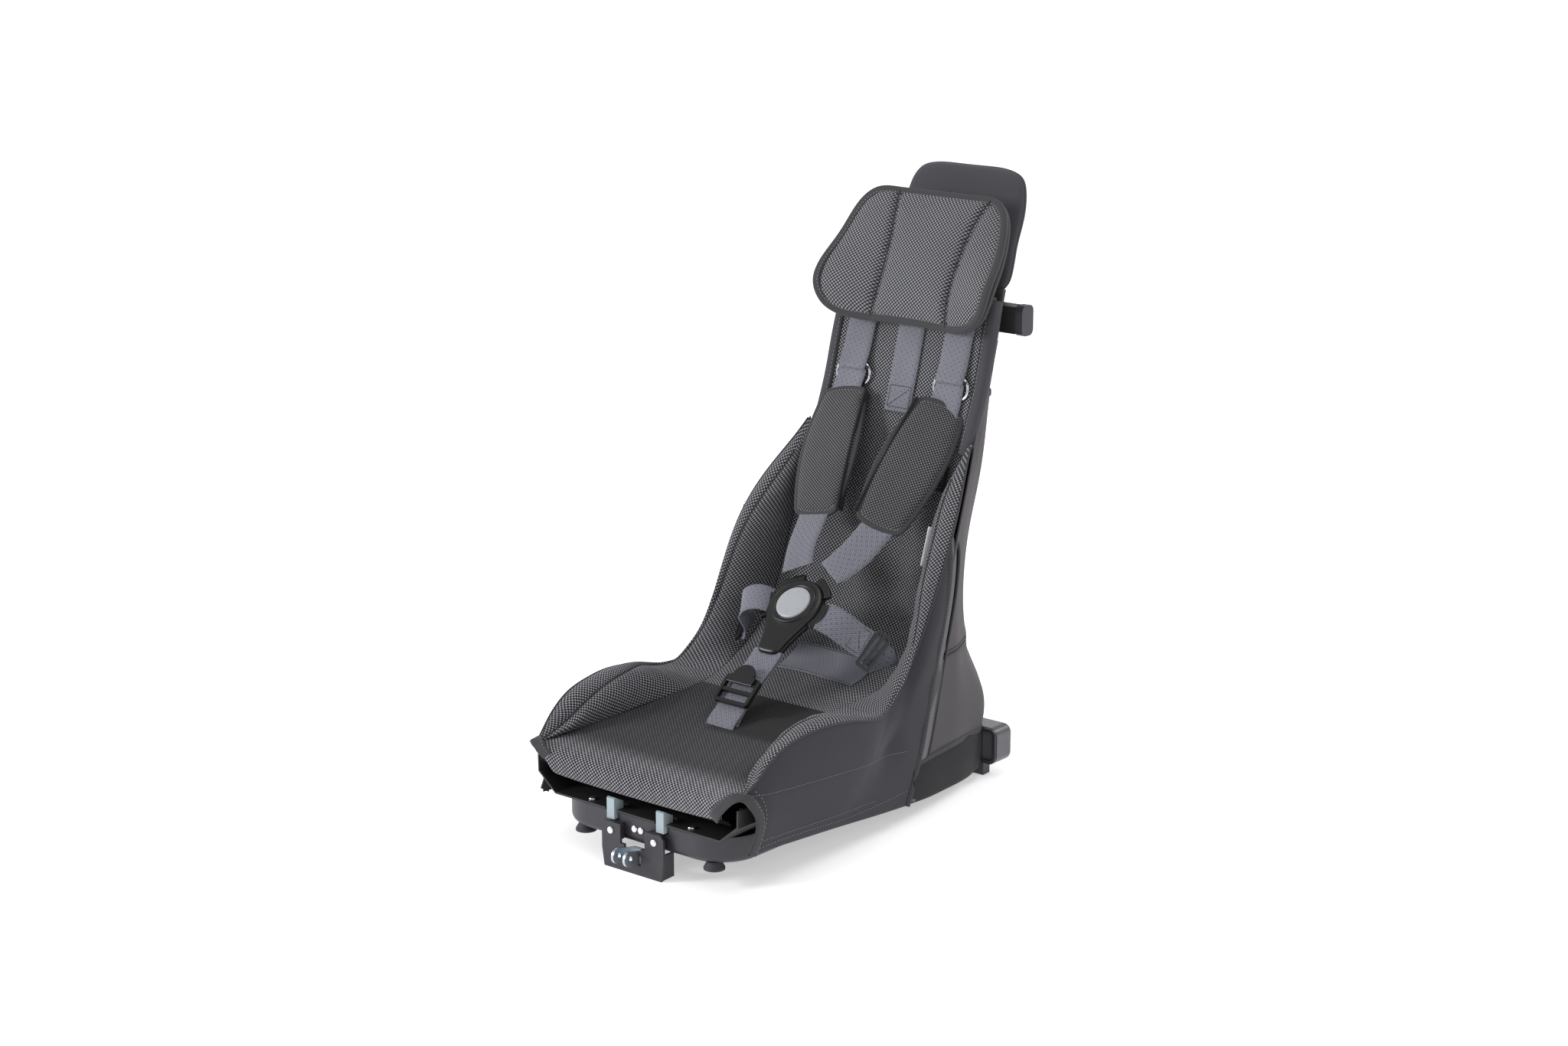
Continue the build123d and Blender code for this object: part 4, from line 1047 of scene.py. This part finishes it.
def build_head_cushion():
    """Head cushion: inside the outline, from the middle outwards, rings rise to a pillow of
    three panels; cloth pressure swells them between the sewn creases and the bound edge."""
    outline = cushion_outline(160, -3.0)
    share = np.concatenate([np.linspace(0, 1, 26), np.linspace(1, 0, 22)[1:]])
    front = np.arange(len(share)) < 26
    ring = outline[None] * share[:, None, None]
    x, up = ring[..., 0], ring[..., 1]
    crease = bump(abs(x), crease_place(x, up), 4.0)
    dome = (1 - share[:, None] ** 6) ** 0.7
    panel = np.where(abs(x) < crease_place(x, up), 1.0, 0.86)
    top = 2.0 + dome * 12.5 * panel * (1 - 0.55 * crease)
    out = wing_rise(x, up) + np.where(front[:, None], top, 0.4)
    obj = surface("head_cushion_cloth", cushion_point(x, up, out), wrap_cols=True, closed=True)
    axes = np.array([[1, 0, 0], CUSHION_UP, CUSHION_OUT])
    remesh(obj, CUSHION_VOXEL)

    def sewn(points_m):
        """1 at the bound edge, the creases and the flat rear, where the cloth is held."""
        local = local_frame(points_m, CUSHION_AT, axes)
        edge = outline_distance(local[:, :2], outline) < 5.0
        rear = local[:, 2] - wing_rise(local[:, 0], local[:, 1]) < 1.5
        crease_line = abs(abs(local[:, 0]) - crease_place(local[:, 0], local[:, 1])) < 2.6
        return (edge | rear | crease_line).astype(float)

    inflate(obj, CUSHION_SWELL, sewn)
    places = read_points(obj)
    local = local_frame(places, CUSHION_AT, axes)
    height = local[:, 2] - wing_rise(local[:, 0], local[:, 1])
    away = abs(local[:, 0]) - crease_place(local[:, 0], local[:, 1])
    groove = -3.2 * bump(away, 0, 2.6) * ease(height, 2, 6)
    pucker = 0.5 * np.sin(local[:, 1] * 0.9) * bump(away, 0, 9) * ease(height, 2, 6)
    places = places + turn(CUSHION_OUT)[None] * ((groove + pucker) * MM)[:, None]
    obj.data.vertices.foreach_set("co", places.ravel())
    flat_uv(obj, stand(CUSHION_AT), turn(np.array([1.0, 0, 0])), turn(CUSHION_UP))
    obj.data.polygons.foreach_set("use_smooth", np.ones(len(obj.data.polygons), bool))
    add_modifier(obj, "SUBSURF", levels=1, render_levels=1)
    finish_piece(obj, CUSHION_MESH, "headrest", stands_for=["head_cushion"])
    build_cushion_trim()


def build_cushion_trim():
    """Binding round the head cushion, its dashed stitching, the dark crease threads, and the
    thinner second layer behind it with its own bound edge."""
    edge = cushion_outline(260)
    rise = wing_rise(edge[:, 0], edge[:, 1])
    path = cushion_point(edge[:, 0], edge[:, 1], rise + 3.0)
    ahead = unit(np.roll(path, -1, 0) - np.roll(path, 1, 0))
    face = unit(CUSHION_OUT + 0 * ahead)
    side = unit(np.cross(face, ahead))
    grid = carried(path, side, face, oval(9.5, 7.0, 16, 0.6) - [4.2, 0.0])
    obj = surface("cushion_binding", grid, wrap_rows=True, wrap_cols=True)
    finish_piece(obj, BINDING, "headrest")
    line = path - side * 6.6 + face * 3.3
    line = np.concatenate([line, line[:1]])
    stitches("cushion_stitches", line, np.concatenate([face, face[:1]]), THREAD, "headrest", pitch=4.0)
    layer_edge = cushion_outline(200, -1.0) * [0.97, 0.96]
    rings = np.concatenate([np.linspace(0, 1, 12), np.linspace(1, 0, 12)[1:]])
    flat = layer_edge[None] * rings[:, None, None]
    level = np.where(np.arange(len(rings)) < 12, -1.2, -5.8)[:, None]
    bulge = np.where(np.arange(len(rings)) < 12, 0, -0.6)[:, None] * (1 - rings[:, None] ** 4)
    out = wing_rise(flat[..., 0], flat[..., 1]) * 0.93 + level + bulge
    back = surface("cushion_back_layer", cushion_point(flat[..., 0], flat[..., 1], out), wrap_cols=True,
                   closed=True)
    finish_piece(back, HEAD, "headrest", stands_for=["head_cushion_back"])
    rise = wing_rise(layer_edge[:, 0], layer_edge[:, 1]) * 0.93
    path = cushion_point(layer_edge[:, 0], layer_edge[:, 1], rise - 3.6)
    ahead = unit(np.roll(path, -1, 0) - np.roll(path, 1, 0))
    side = unit(np.cross(CUSHION_OUT + 0 * ahead, ahead))
    grid = carried(path, side, CUSHION_OUT, oval(7.0, 6.6, 14, 0.7))
    trim = surface("cushion_back_binding", grid, wrap_rows=True, wrap_cols=True)
    finish_piece(trim, BINDING, "headrest")
    for label, hand in SIDES:
        up = np.linspace(-75, 72, 60)
        x = crease_place(hand, up) * hand
        out = 8.5 * (1 - (up / 84) ** 4) + 3.0
        seam = cushion_point(x, up, out)
        cord = sweep(seam, np.cross(unit(np.gradient(seam, axis=0)), CUSHION_OUT), oval(1.1, 1.1, 8, 1.0))
        obj = surface("cushion_crease_" + label, cord, wrap_cols=True, caps=True)
        finish_piece(obj, DARK_THREAD, "headrest")


# ---- harness ------------------------------------------------------------------------
BUCKLE_AT = np.array([0.0, 250.0, 217.0])
BUCKLE_LEAN = math.radians(40.9)
BUCKLE_UP = np.array([0.0, math.cos(BUCKLE_LEAN), math.sin(BUCKLE_LEAN)])
BUCKLE_OUT = np.array([0.0, -math.sin(BUCKLE_LEAN), math.cos(BUCKLE_LEAN)])
STRAP_FACE = np.array([0.0, -0.86, 0.5])


def buckle_point(x, up, depth):
    """Seat-frame points from across, up and below the buckle's face."""
    x, up, depth = np.broadcast_arrays(np.asarray(x, float), up, depth)
    place = BUCKLE_AT + up[..., None] * BUCKLE_UP - depth[..., None] * BUCKLE_OUT
    place[..., 0] += x
    return place


def strap_band(name, points, faces, width=WEBBING, stands_for=(), n=90):
    """Webbing carried along a smooth line through points, its face turned through faces, one
    for each point."""
    points = np.asarray(points, float)
    path = smooth_line(points, n)
    share = np.interp(np.linspace(0, 1, n), along(points) / along(points)[-1], np.arange(len(points)))
    face = cubic(np.arange(len(points)), np.asarray(faces, float) + np.zeros_like(points), share)
    side = np.cross(unit(np.gradient(path, axis=0)), face)
    obj = surface(name, sweep(path, side, band_profile(width, WEB_THICK)), wrap_cols=True, caps=True)
    finish_piece(obj, STRAP, stands_for=stands_for)
    return path, unit(face), unit(side)


def sewn_box(name, centre, along_way, across_way, length, width, face):
    """Box of stitches with a cross, sewn on webbing."""
    a, b = unit(np.asarray(along_way, float)) * length / 2, unit(np.asarray(across_way, float)) * width / 2
    corners = [centre + a * i + b * j for i, j in [(-1, -1), (1, -1), (1, 1), (-1, 1), (-1, -1), (1, 1)]]
    line = np.concatenate([evenly(np.array(corners[i:i + 2]), 12)[:-1] for i in range(5)])
    stitches(name, line, np.broadcast_to(face, line.shape), DARK_THREAD, pitch=2.6, length=2.0, thread=0.45)


def build_slide(side, hand):
    """Slide of a shoulder strap: a bright wire loop of two half circles and two straight runs,
    lying on the back, and the dark bar that both layers of webbing turn round."""
    t = np.linspace(0, 2 * np.pi, 96, endpoint=False)
    across = np.sign(np.cos(t)) * 14.0 + 9.0 * np.cos(t)
    up = 11.5 * np.sin(t)
    centre = np.array([68.0 * hand + 1.2, 438.6, 431.0])
    way_up = unit(np.array([0.0, 0.16, 0.987]))
    way_out = np.array([0.0, -0.987, 0.16])
    path = centre + across[:, None] * [1, 0, 0] + up[:, None] * way_up
    around = unit(np.roll(path, -1, 0) - np.roll(path, 1, 0))
    wire = carried(path, np.cross(around, way_out), way_out, oval(3.4, 3.0, 12, 0.9))
    loop = surface("slide_loop_" + side, wire, wrap_rows=True, wrap_cols=True)
    finish_piece(loop, CHROME, stands_for=["strap_slide_" + side])
    ends = centre + np.array([[-21.5, 0, 0], [21.5, 0, 0]]) + way_up * 7.6
    bar = sweep(evenly(ends, 6), np.broadcast_to(way_up, (6, 3)), oval(4.0, 4.0, 14, 0.8))
    finish_piece(surface("slide_bar_" + side, bar, wrap_cols=True, caps=True), BUCKLE)


def build_straps():
    """The straps: two from the shoulders into the pads and on to the buckle, one down the
    middle of the back, one between the legs, two from the hips, and the lap web behind."""
    lower = {"left": [(-68, 441, 441), (-68, 438.5, 434), (-69, 427, 412), (-42, 340, 292), (-30, 300, 257),
                      (-19, 282, 244)],
             "right": [(68, 441, 441), (68, 438.5, 434), (68, 429, 412), (50, 335, 290), (35, 298, 256),
                       (25, 283, 245)]}
    for side, hand in SIDES[::-1]:
        tilt = np.array([0.34 if side == "right" else 0.0, 0, 0])
        faces = [STRAP_FACE] * 2 + [STRAP_FACE + tilt * 0.5, STRAP_FACE + tilt, STRAP_FACE + tilt * 0.6,
                                    BUCKLE_OUT + [0, -0.2, 0]]
        strap_band("shoulder_web_" + side, lower[side], faces, stands_for=["shoulder_strap_" + side])
        upper = [(67 * hand, 462.5, 506), (67.5 * hand, 450, 470), (68 * hand, 438.2, 442),
                 (68 * hand, 436.6, 437.6), (68 * hand, 438.6, 435.2)]
        strap_band("upper_web_" + side, upper, [STRAP_FACE] * 3 + [(0, -0.9, -0.4), (0, -0.1, -1)])
        build_slide(side, hand)
    z = np.array([506.0, 470.0, 430.0, 396.0])
    middle = np.stack([1 + 0 * z, back_y(z) - 2.6, z], -1)
    path, face, _ = strap_band("centre_web", middle, [STRAP_FACE] * 4, width=36.0,
                               stands_for=["centre_strap"])
    sewn_box("centre_web_box", path[-14] + face[-14] * 1.1, [0, 0.27, 0.96], [1, 0, 0], 24, 29, face[-14])
    crotch = [(0, 128, 62), (0, 128, 92), (0, 130, 106), (0, 141, 116), buckle_point(0, -104, 5.5),
              buckle_point(0, -80, 9.0), buckle_point(0, -60, 9.5)]
    faces = [(0, -1, 0), (0, -1, 0.02), (0, -0.95, 0.3), (0, -0.72, 0.7), BUCKLE_OUT, BUCKLE_OUT, BUCKLE_OUT]
    strap_band("crotch_web", crotch, faces, stands_for=["crotch_strap"])
    under = [(0, 133, 100), (0, 140, 110), buckle_point(0, -108, 9.8), buckle_point(0, -84, 12.5),
             buckle_point(0, -60, 12.8)]
    strap_band("crotch_web_under", under, [(0, -0.95, 0.3), (0, -0.72, 0.7)] + [BUCKLE_OUT] * 3)
    line = buckle_point(np.linspace(-18, 18, 20), -96.0, 5.4)
    stitches("crotch_web_seam", line, BUCKLE_OUT + 0 * line, THREAD, pitch=2.4, length=2.0)
    hip_face = np.array([0.35, -0.75, 0.56])
    right = [buckle_point(38, -5, 9), (55, 258, 200), (74, 269, 184.5), (93, 280, 169), (98, 287, 152)]
    faces = [BUCKLE_OUT + [0.1, 0, 0], hip_face, hip_face, hip_face, hip_face]
    path, face, side = strap_band("waist_web_right", right, faces, width=HIP_WEBBING,
                                  stands_for=["waist_strap_right"])
    fold = path[6:60] + face[6:60] * 2.0
    strap_band("waist_fold_right", fold[::13], face[6:60:13], width=HIP_WEBBING,
               n=40)
    sewn_box("waist_box_right", path[48] + face[48] * 3.0, path[50] - path[46], side[48], 16, 27, face[48])
    near_buckle = [(-35, 0, 9.0), (-44, -2, 3.0), (-55, -6, 1.0), (-65, -11, 4.5), (-69, -15, 13),
                   (-67, -19, 24), (-70, -20, 33)]
    loop = np.array([buckle_point(*p) for p in near_buckle] + [(-84, 274, 168), (-95, 284, 156)])
    path = smooth_line(loop, 110)
    width_way = unit(-0.45 * np.array([1.0, 0, 0]) + 0.9 * BUCKLE_UP)
    last_way = unit(np.array([0.25, 0.55, 0.8]))
    blend = ease(np.linspace(0, 1, 110), 0.55, 0.95)[:, None]
    across = unit(width_way * (1 - blend) + last_way * blend)
    band = sweep(path, across, band_profile(HIP_WEBBING, WEB_THICK))
    web = surface("waist_web_left", band, wrap_cols=True, caps=True)
    finish_piece(web, STRAP, stands_for=["waist_strap_left"])


def build_back_patch(name, back_grid, across, heights, material, stands_for=()):
    """Strip of the back cloth's own surface between two X and two Z values, lifted off it."""
    middle_z = back_grid[:, back_grid.shape[1] // 2, 2]
    rows = np.nonzero((middle_z > heights[0]) & (middle_z < heights[1]))[0]
    middle_x = back_grid[rows[len(rows) // 2], :, 0]
    cols = np.nonzero((middle_x > across[0]) & (middle_x < across[1]))[0]
    lifted = back_grid + normals_of(back_grid) * PATCH_LIFT
    patch_grid = lifted[rows[0]:rows[-1] + 1, cols[0]:cols[-1] + 1]
    obj = surface(name, patch_grid)
    finish_piece(obj, material, thick=1.5, stands_for=stands_for)
    sewn_sheet(patch_grid)
    return patch_grid


def build_lap_web(back_grid):
    """Lap webbing low on the back, a sewn square of webbing beside the right pad, and a plain
    pale tag that stands out of the seam of the right torso bolster."""
    patch_grid = build_back_patch("lap_web", back_grid, (-36, 74), (132, 152), LAP, ["lap_webbing"])
    square = build_back_patch("web_square", back_grid, (62, 90), (322, 350), RAIL)
    normal = normals_of(square)
    ring = np.concatenate([square[2, 2:-2], square[2:-2, -3], square[-3, -3:1:-1], square[-3:1:-1, 2]])
    around = np.concatenate([normal[2, 2:-2], normal[2:-2, -3], normal[-3, -3:1:-1], normal[-3:1:-1, 2]])
    stitches("web_square_stitches", ring + around * 0.6, around, THREAD, pitch=2.8, length=2.0, thread=0.4)
    down, out = np.linspace(0, 1, 12)[:, None, None], np.linspace(0, 1, 6)[None, :, None]
    seam = np.array([103.0, 371, 292]) + down * np.array([0.0, -14, -41])
    tag = seam + out * np.array([-4.0, -11, 3]) + np.sin(out * 2) * np.array([1.5, 0, 0])
    obj = surface("care_tag", tag)
    finish_piece(obj, TAG, thick=0.4)
    sewn_sheet(tag)
    for label, row in (("upper", -2), ("lower", 1)):
        line = patch_grid[row] + normals_of(patch_grid)[row] * 0.4
        stitches("lap_stitches_" + label, line, normals_of(patch_grid)[row], DARK_THREAD, pitch=3.2,
                 length=2.2, thread=0.4)


# Each pad's upper and lower point on its middle line, and how far its face turns to the side.
PAD_LINES = {"left": ((-70, 427, 415), (-41, 337, 291), 0.0),
             "right": ((68, 430, 417), (50, 331, 289), 0.42)}
PAD_LENGTH, PAD_WIDTH = 158.0, 60.0


def pad_frame(side):
    """Middle, lengthwise, crosswise and face directions of a shoulder pad."""
    top, bottom, twist = PAD_LINES[side]
    top, bottom = np.array(top, float), np.array(bottom, float)
    down = unit(bottom - top)
    face = unit(STRAP_FACE + [twist, 0, 0] - down * ((STRAP_FACE + [twist, 0, 0]) @ down))
    return (top + bottom) / 2, down, np.cross(face, down), face


def pad_outline(n, inset, side):
    """Rounded rectangle of a pad, with its upper inner corner drawn to a blunt point."""
    hand = 1 if side == "right" else -1
    a, b = PAD_LENGTH / 2, PAD_WIDTH / 2
    corners = [(-a, -b + 14), (-a, b - 14), (-a + 4, b - 4), (-a + 14, b), (a - 14, b), (a - 4, b - 4),
               (a, b - 14), (a, -b + 14), (a - 4, -b + 4), (a - 14, -b), (-a + 14, -b), (-a + 4, -b + 4)]
    return moved_sideways(loop_line([(x, y * hand, 0) for x, y in corners], n)[:, :2], inset * hand)


def build_pads():
    """Shoulder pads: a domed closed form of rings inside a rounded outline, swollen by cloth
    pressure between its bound edges, with binding, dashes and a closing strip on the inner side."""
    for side in ("left", "right"):
        middle, down, across, face = pad_frame(side)
        axes = np.stack([down, across, face])

        def place(flat, out):
            """Points of the pad's own frame in the seat frame, bowed a little along its length."""
            bow = 3.0 * (flat[..., 0] / (PAD_LENGTH / 2)) ** 2
            return middle + flat[..., :1] * down + flat[..., 1:2] * across + (out - bow)[..., None] * face

        outline = pad_outline(120, 2.5, side)
        share = np.concatenate([np.linspace(0, 1, 16), np.linspace(1, 0, 16)[1:]])[:, None]
        front = (np.arange(31) < 16)[:, None]
        flat = outline[None] * share[..., None]
        out = np.where(front, 1.2 + 6.0 * (1 - share ** 6) ** 0.7, -1.2 - 4.6 * (1 - share ** 6) ** 0.7)
        obj = surface("pad_cloth_" + side, place(flat, out), wrap_cols=True, closed=True)
        remesh(obj, PAD_VOXEL)

        def sewn(points_m):
            """1 along the bound edge, where the cloth is held."""
            local = local_frame(points_m, middle, axes)
            return (outline_distance(local[:, :2], outline) < 4.5).astype(float)

        inflate(obj, PAD_SWELL, sewn)
        flat_uv(obj, stand(middle), turn(across), turn(down))
        obj.data.polygons.foreach_set("use_smooth", np.ones(len(obj.data.polygons), bool))
        add_modifier(obj, "SUBSURF", levels=1, render_levels=1)
        body = "pad_" + side
        finish_piece(obj, PAD_MESH, body, stands_for=["shoulder_pad_" + side])
        edge = place(pad_outline(200, 0.0, side), np.zeros(200))
        ahead = unit(np.roll(edge, -1, 0) - np.roll(edge, 1, 0))
        inward = unit(np.cross(face + 0 * ahead, ahead))
        inward = inward * np.sign(((middle - edge) * inward).sum(-1))[:, None]
        grid = carried(edge, inward, face, oval(8.0, 5.6, 14, 0.65) + [3.0, 0])
        trim = surface("pad_binding_" + side, grid, wrap_rows=True, wrap_cols=True)
        finish_piece(trim, BINDING, body)
        line = edge + inward * 5.2 + face * 2.9
        line = np.concatenate([line, line[:1]])
        stitches("pad_stitches_" + side, line, np.broadcast_to(face, line.shape), THREAD, body, pitch=4.0)
        hand = 1 if side == "left" else -1
        x = np.linspace(-72, 72, 50)
        strip = place(np.stack([x, np.full(50, hand * (PAD_WIDTH / 2 + 0.4))], -1), np.full(50, -0.4))
        profile = oval(12.5, 3.6, 14)
        closing = sweep(strip, np.broadcast_to(face, strip.shape), profile)
        obj = surface("pad_closing_" + side, closing, wrap_cols=True, caps=True)
        finish_piece(obj, RAIL, body)


def buckle_ring(inset):
    """Outline of the buckle moved inwards: a round head and a tail towards the crotch strap."""
    half = [(0, 33), (12.6, 30.5), (23.3, 23.3), (30.5, 12.6), (33, 0), (31, -11.5), (26, -23), (20.5, -37),
            (16.5, -50), (14.5, -58.5), (11.5, -63.4), (6, -65), (0, -65.2)]
    whole = half + [(-x, y) for x, y in half[-2:0:-1]]
    return moved_sideways(loop_line([(x, y, 0) for x, y in whole], 160)[:, :2], inset)


def build_buckle():
    """Buckle: two moulded halves with a split line, a shoulder that runs in from the outline to
    a raised round rim, a well, the domed button with six pips, and four tongues at its edge."""
    base = buckle_ring(0)
    angle = np.arctan2(base[:, 1], base[:, 0])
    round_way = np.stack([np.cos(angle), np.sin(angle)], -1)
    wall = [(10, 17), (2.2, 17), (0.7, 16.2), (0, 14.6), (0, 11.6), (0.7, 11.2), (0.7, 10.7), (0, 10.3),
            (0, 7.2), (0.6, 5.4), (1.8, 4.4), (3.6, 4.0)]
    rim = [(26.5, 2.4), (26.0, 1.7), (25.0, 1.4), (22.8, 1.4), (21.6, 1.9), (20.9, 3.0), (20.8, 10.0),
           (0, 10.0)]
    rings = [(buckle_ring(inset), depth) for inset, depth in wall]
    inner = buckle_ring(3.6)
    rings += [(inner + (round_way * 26.8 - inner) * s, 4.0 - 0.3 * s) for s in (0.35, 0.7, 1.0)]
    rings += [(round_way * radius, depth) for radius, depth in rim]
    grid = np.stack([buckle_point(p[:, 0], p[:, 1], np.full(len(p), float(d))) for p, d in rings])
    shell = surface("buckle_shell", grid, wrap_cols=True, closed=True)
    finish_piece(shell, BUCKLE, stands_for=["buckle_housing", "buckle_back"])
    add_modifier(shell, "BEVEL", width=0.00035, segments=2, limit_method="ANGLE")
    r = np.array([0, 4, 8, 12, 15, 17.5, 19.2, 20.1, 20.4, 20.4, 20.4])
    depth = np.array([0.0, 0.04, 0.15, 0.36, 0.58, 0.85, 1.25, 1.9, 3.0, 5.0, 6.4])
    t = np.linspace(0, 2 * np.pi, 96, endpoint=False)
    dome = buckle_point(r[:, None] * np.cos(t), r[:, None] * np.sin(t), depth[:, None] + 0 * t)
    button = surface("button_cap", dome, wrap_cols=True)
    finish_piece(button, BUTTON, "button", stands_for=["buckle_button"])
    around = np.linspace(0, 2 * np.pi, 6, endpoint=False) + np.pi / 6
    s, q = np.linspace(0, 1, 6)[:, None], np.linspace(0, 2 * np.pi, 16, endpoint=False)[None]
    for i, a in enumerate(around):
        x = 13.6 * np.cos(a) + 0.8 * np.sin(s * np.pi / 2) * np.cos(q)
        y = 13.6 * np.sin(a) + 0.8 * np.sin(s * np.pi / 2) * np.sin(q)
        pip = surface("button_pip_%d" % i, buckle_point(x, y, 0.55 - 0.65 * np.cos(s * np.pi / 2) + 0 * q),
                      wrap_cols=True)
        finish_piece(pip, BUTTON, "button")
    for name, middles in (("shoulder_tongue", (52, 128)), ("waist_tongue", (-10, 190))):
        for i, middle in enumerate(middles):
            a = np.radians(np.linspace(middle - 24, middle + 24, 40))
            path = buckle_point(37.4 * np.cos(a), 37.4 * np.sin(a), np.full(40, 9.6))
            side = np.stack([np.cos(a), 0 * a, 0 * a], -1) + np.sin(a)[:, None] * BUCKLE_UP
            band = sweep(path, side, oval(9.5, 4.6, 18, 0.5))
            obj = surface("%s_%d" % (name, i), band, wrap_cols=True, caps=True)
            add_modifier(obj, "BEVEL", width=0.0008, segments=3, limit_method="ANGLE")
            finish_piece(obj, BUCKLE, stands_for=[name + "s"] if i == 0 else ())


# ---- studio -------------------------------------------------------------------------
def build_studio():
    """Pale floor that curves up behind the seat, soft lights from above and both sides, and the
    camera, low and off to the front right, on a long lens."""
    y = np.concatenate([np.linspace(-6000, 2600, 12), 2600 + 2400 * np.sin(np.linspace(0.1, 1.57, 14))])
    z = np.concatenate([np.zeros(12), 2400 * (1 - np.cos(np.linspace(0.1, 1.57, 14)))])
    x = np.linspace(-7000, 7000, 12)
    size = (len(y), len(x))
    points = np.stack([np.broadcast_to(v, size) for v in (x, y[:, None], z[:, None])], -1)
    points = points.reshape(-1, 3) * MM
    faces = grid_faces(*size, False, False, False)[0]
    turned = Matrix.Rotation(math.radians(39.8), 3, "Z")
    points = [turned @ Vector(p) for p in points]
    floor = make_mesh("studio_floor", points, faces.tolist())
    paint = Paint("studio floor", roughness=0.7, specular=0.2)
    cloud = paint.noise(paint.place(), 1.3, 2.0)
    paint.colour(shade(paint, (0.90, 0.90, 0.905, 1), (0.88, 0.88, 0.885, 1), cloud))
    paint.shader.inputs["Emission Color"].default_value = (1.0, 1.0, 1.0, 1.0)
    paint.shader.inputs["Emission Strength"].default_value = 0.42
    floor.data.materials.append(paint.material)
    world = bpy.data.worlds.new("soft surround")
    world.use_nodes = True
    world.node_tree.nodes["Background"].inputs[0].default_value = (0.97, 0.98, 1.0, 1.0)
    world.node_tree.nodes["Background"].inputs[1].default_value = 0.52
    bpy.context.scene.world = world
    lights = [("key", (-2.3, -2.5, 1.5), 1.1, 78.0), ("fill", (2.7, -1.3, 1.5), 1.6, 14.0),
              ("top", (0.1, 0.0, 3.0), 2.0, 20.0), ("rear", (1.3, 2.3, 2.1), 1.2, 30.0)]
    for name, place, size, power in lights:
        lamp = bpy.data.lights.new(name, "AREA")
        lamp.shape, lamp.size, lamp.energy = "DISK", size, power
        obj = bpy.data.objects.new(name, lamp)
        obj.location = place
        obj.rotation_euler = (Vector((0, 0, 0.3)) - Vector(place)).to_track_quat("-Z", "Y").to_euler()
        bpy.context.scene.collection.objects.link(obj)
    azimuth, height, reach = math.radians(39.81), math.radians(14.48), 3202.0
    back = np.array([math.sin(azimuth) * math.cos(height), -math.cos(azimuth) * math.cos(height),
                     math.sin(height)])
    right = np.array([math.cos(azimuth), math.sin(azimuth), 0.0])
    target = np.array([30.2, 200.0, 319.1])
    basis = turn(np.stack([right, np.cross(back, right), back])).T
    camera = bpy.data.cameras.new("camera")
    camera.lens, camera.sensor_width = 69.71, 36.0
    eye = bpy.data.objects.new("camera", camera)
    place = Matrix.Translation(Vector(stand(target + back * reach)))
    eye.matrix_world = place @ Matrix(basis.tolist()).to_4x4()
    bpy.context.scene.collection.objects.link(eye)
    bpy.context.scene.camera = eye
    bpy.context.scene.view_settings.view_transform = "Standard"
    bpy.context.scene.view_settings.look = "None"


build_studio()
build_bolsters()
build_pan()
back_grid = build_back()
build_back_edging()
build_skirts()
build_front_hems()
build_rear_cover()
build_slit()
build_headboard()
build_head_cushion()
build_straps()
build_lap_web(back_grid)
build_pads()
build_buckle()
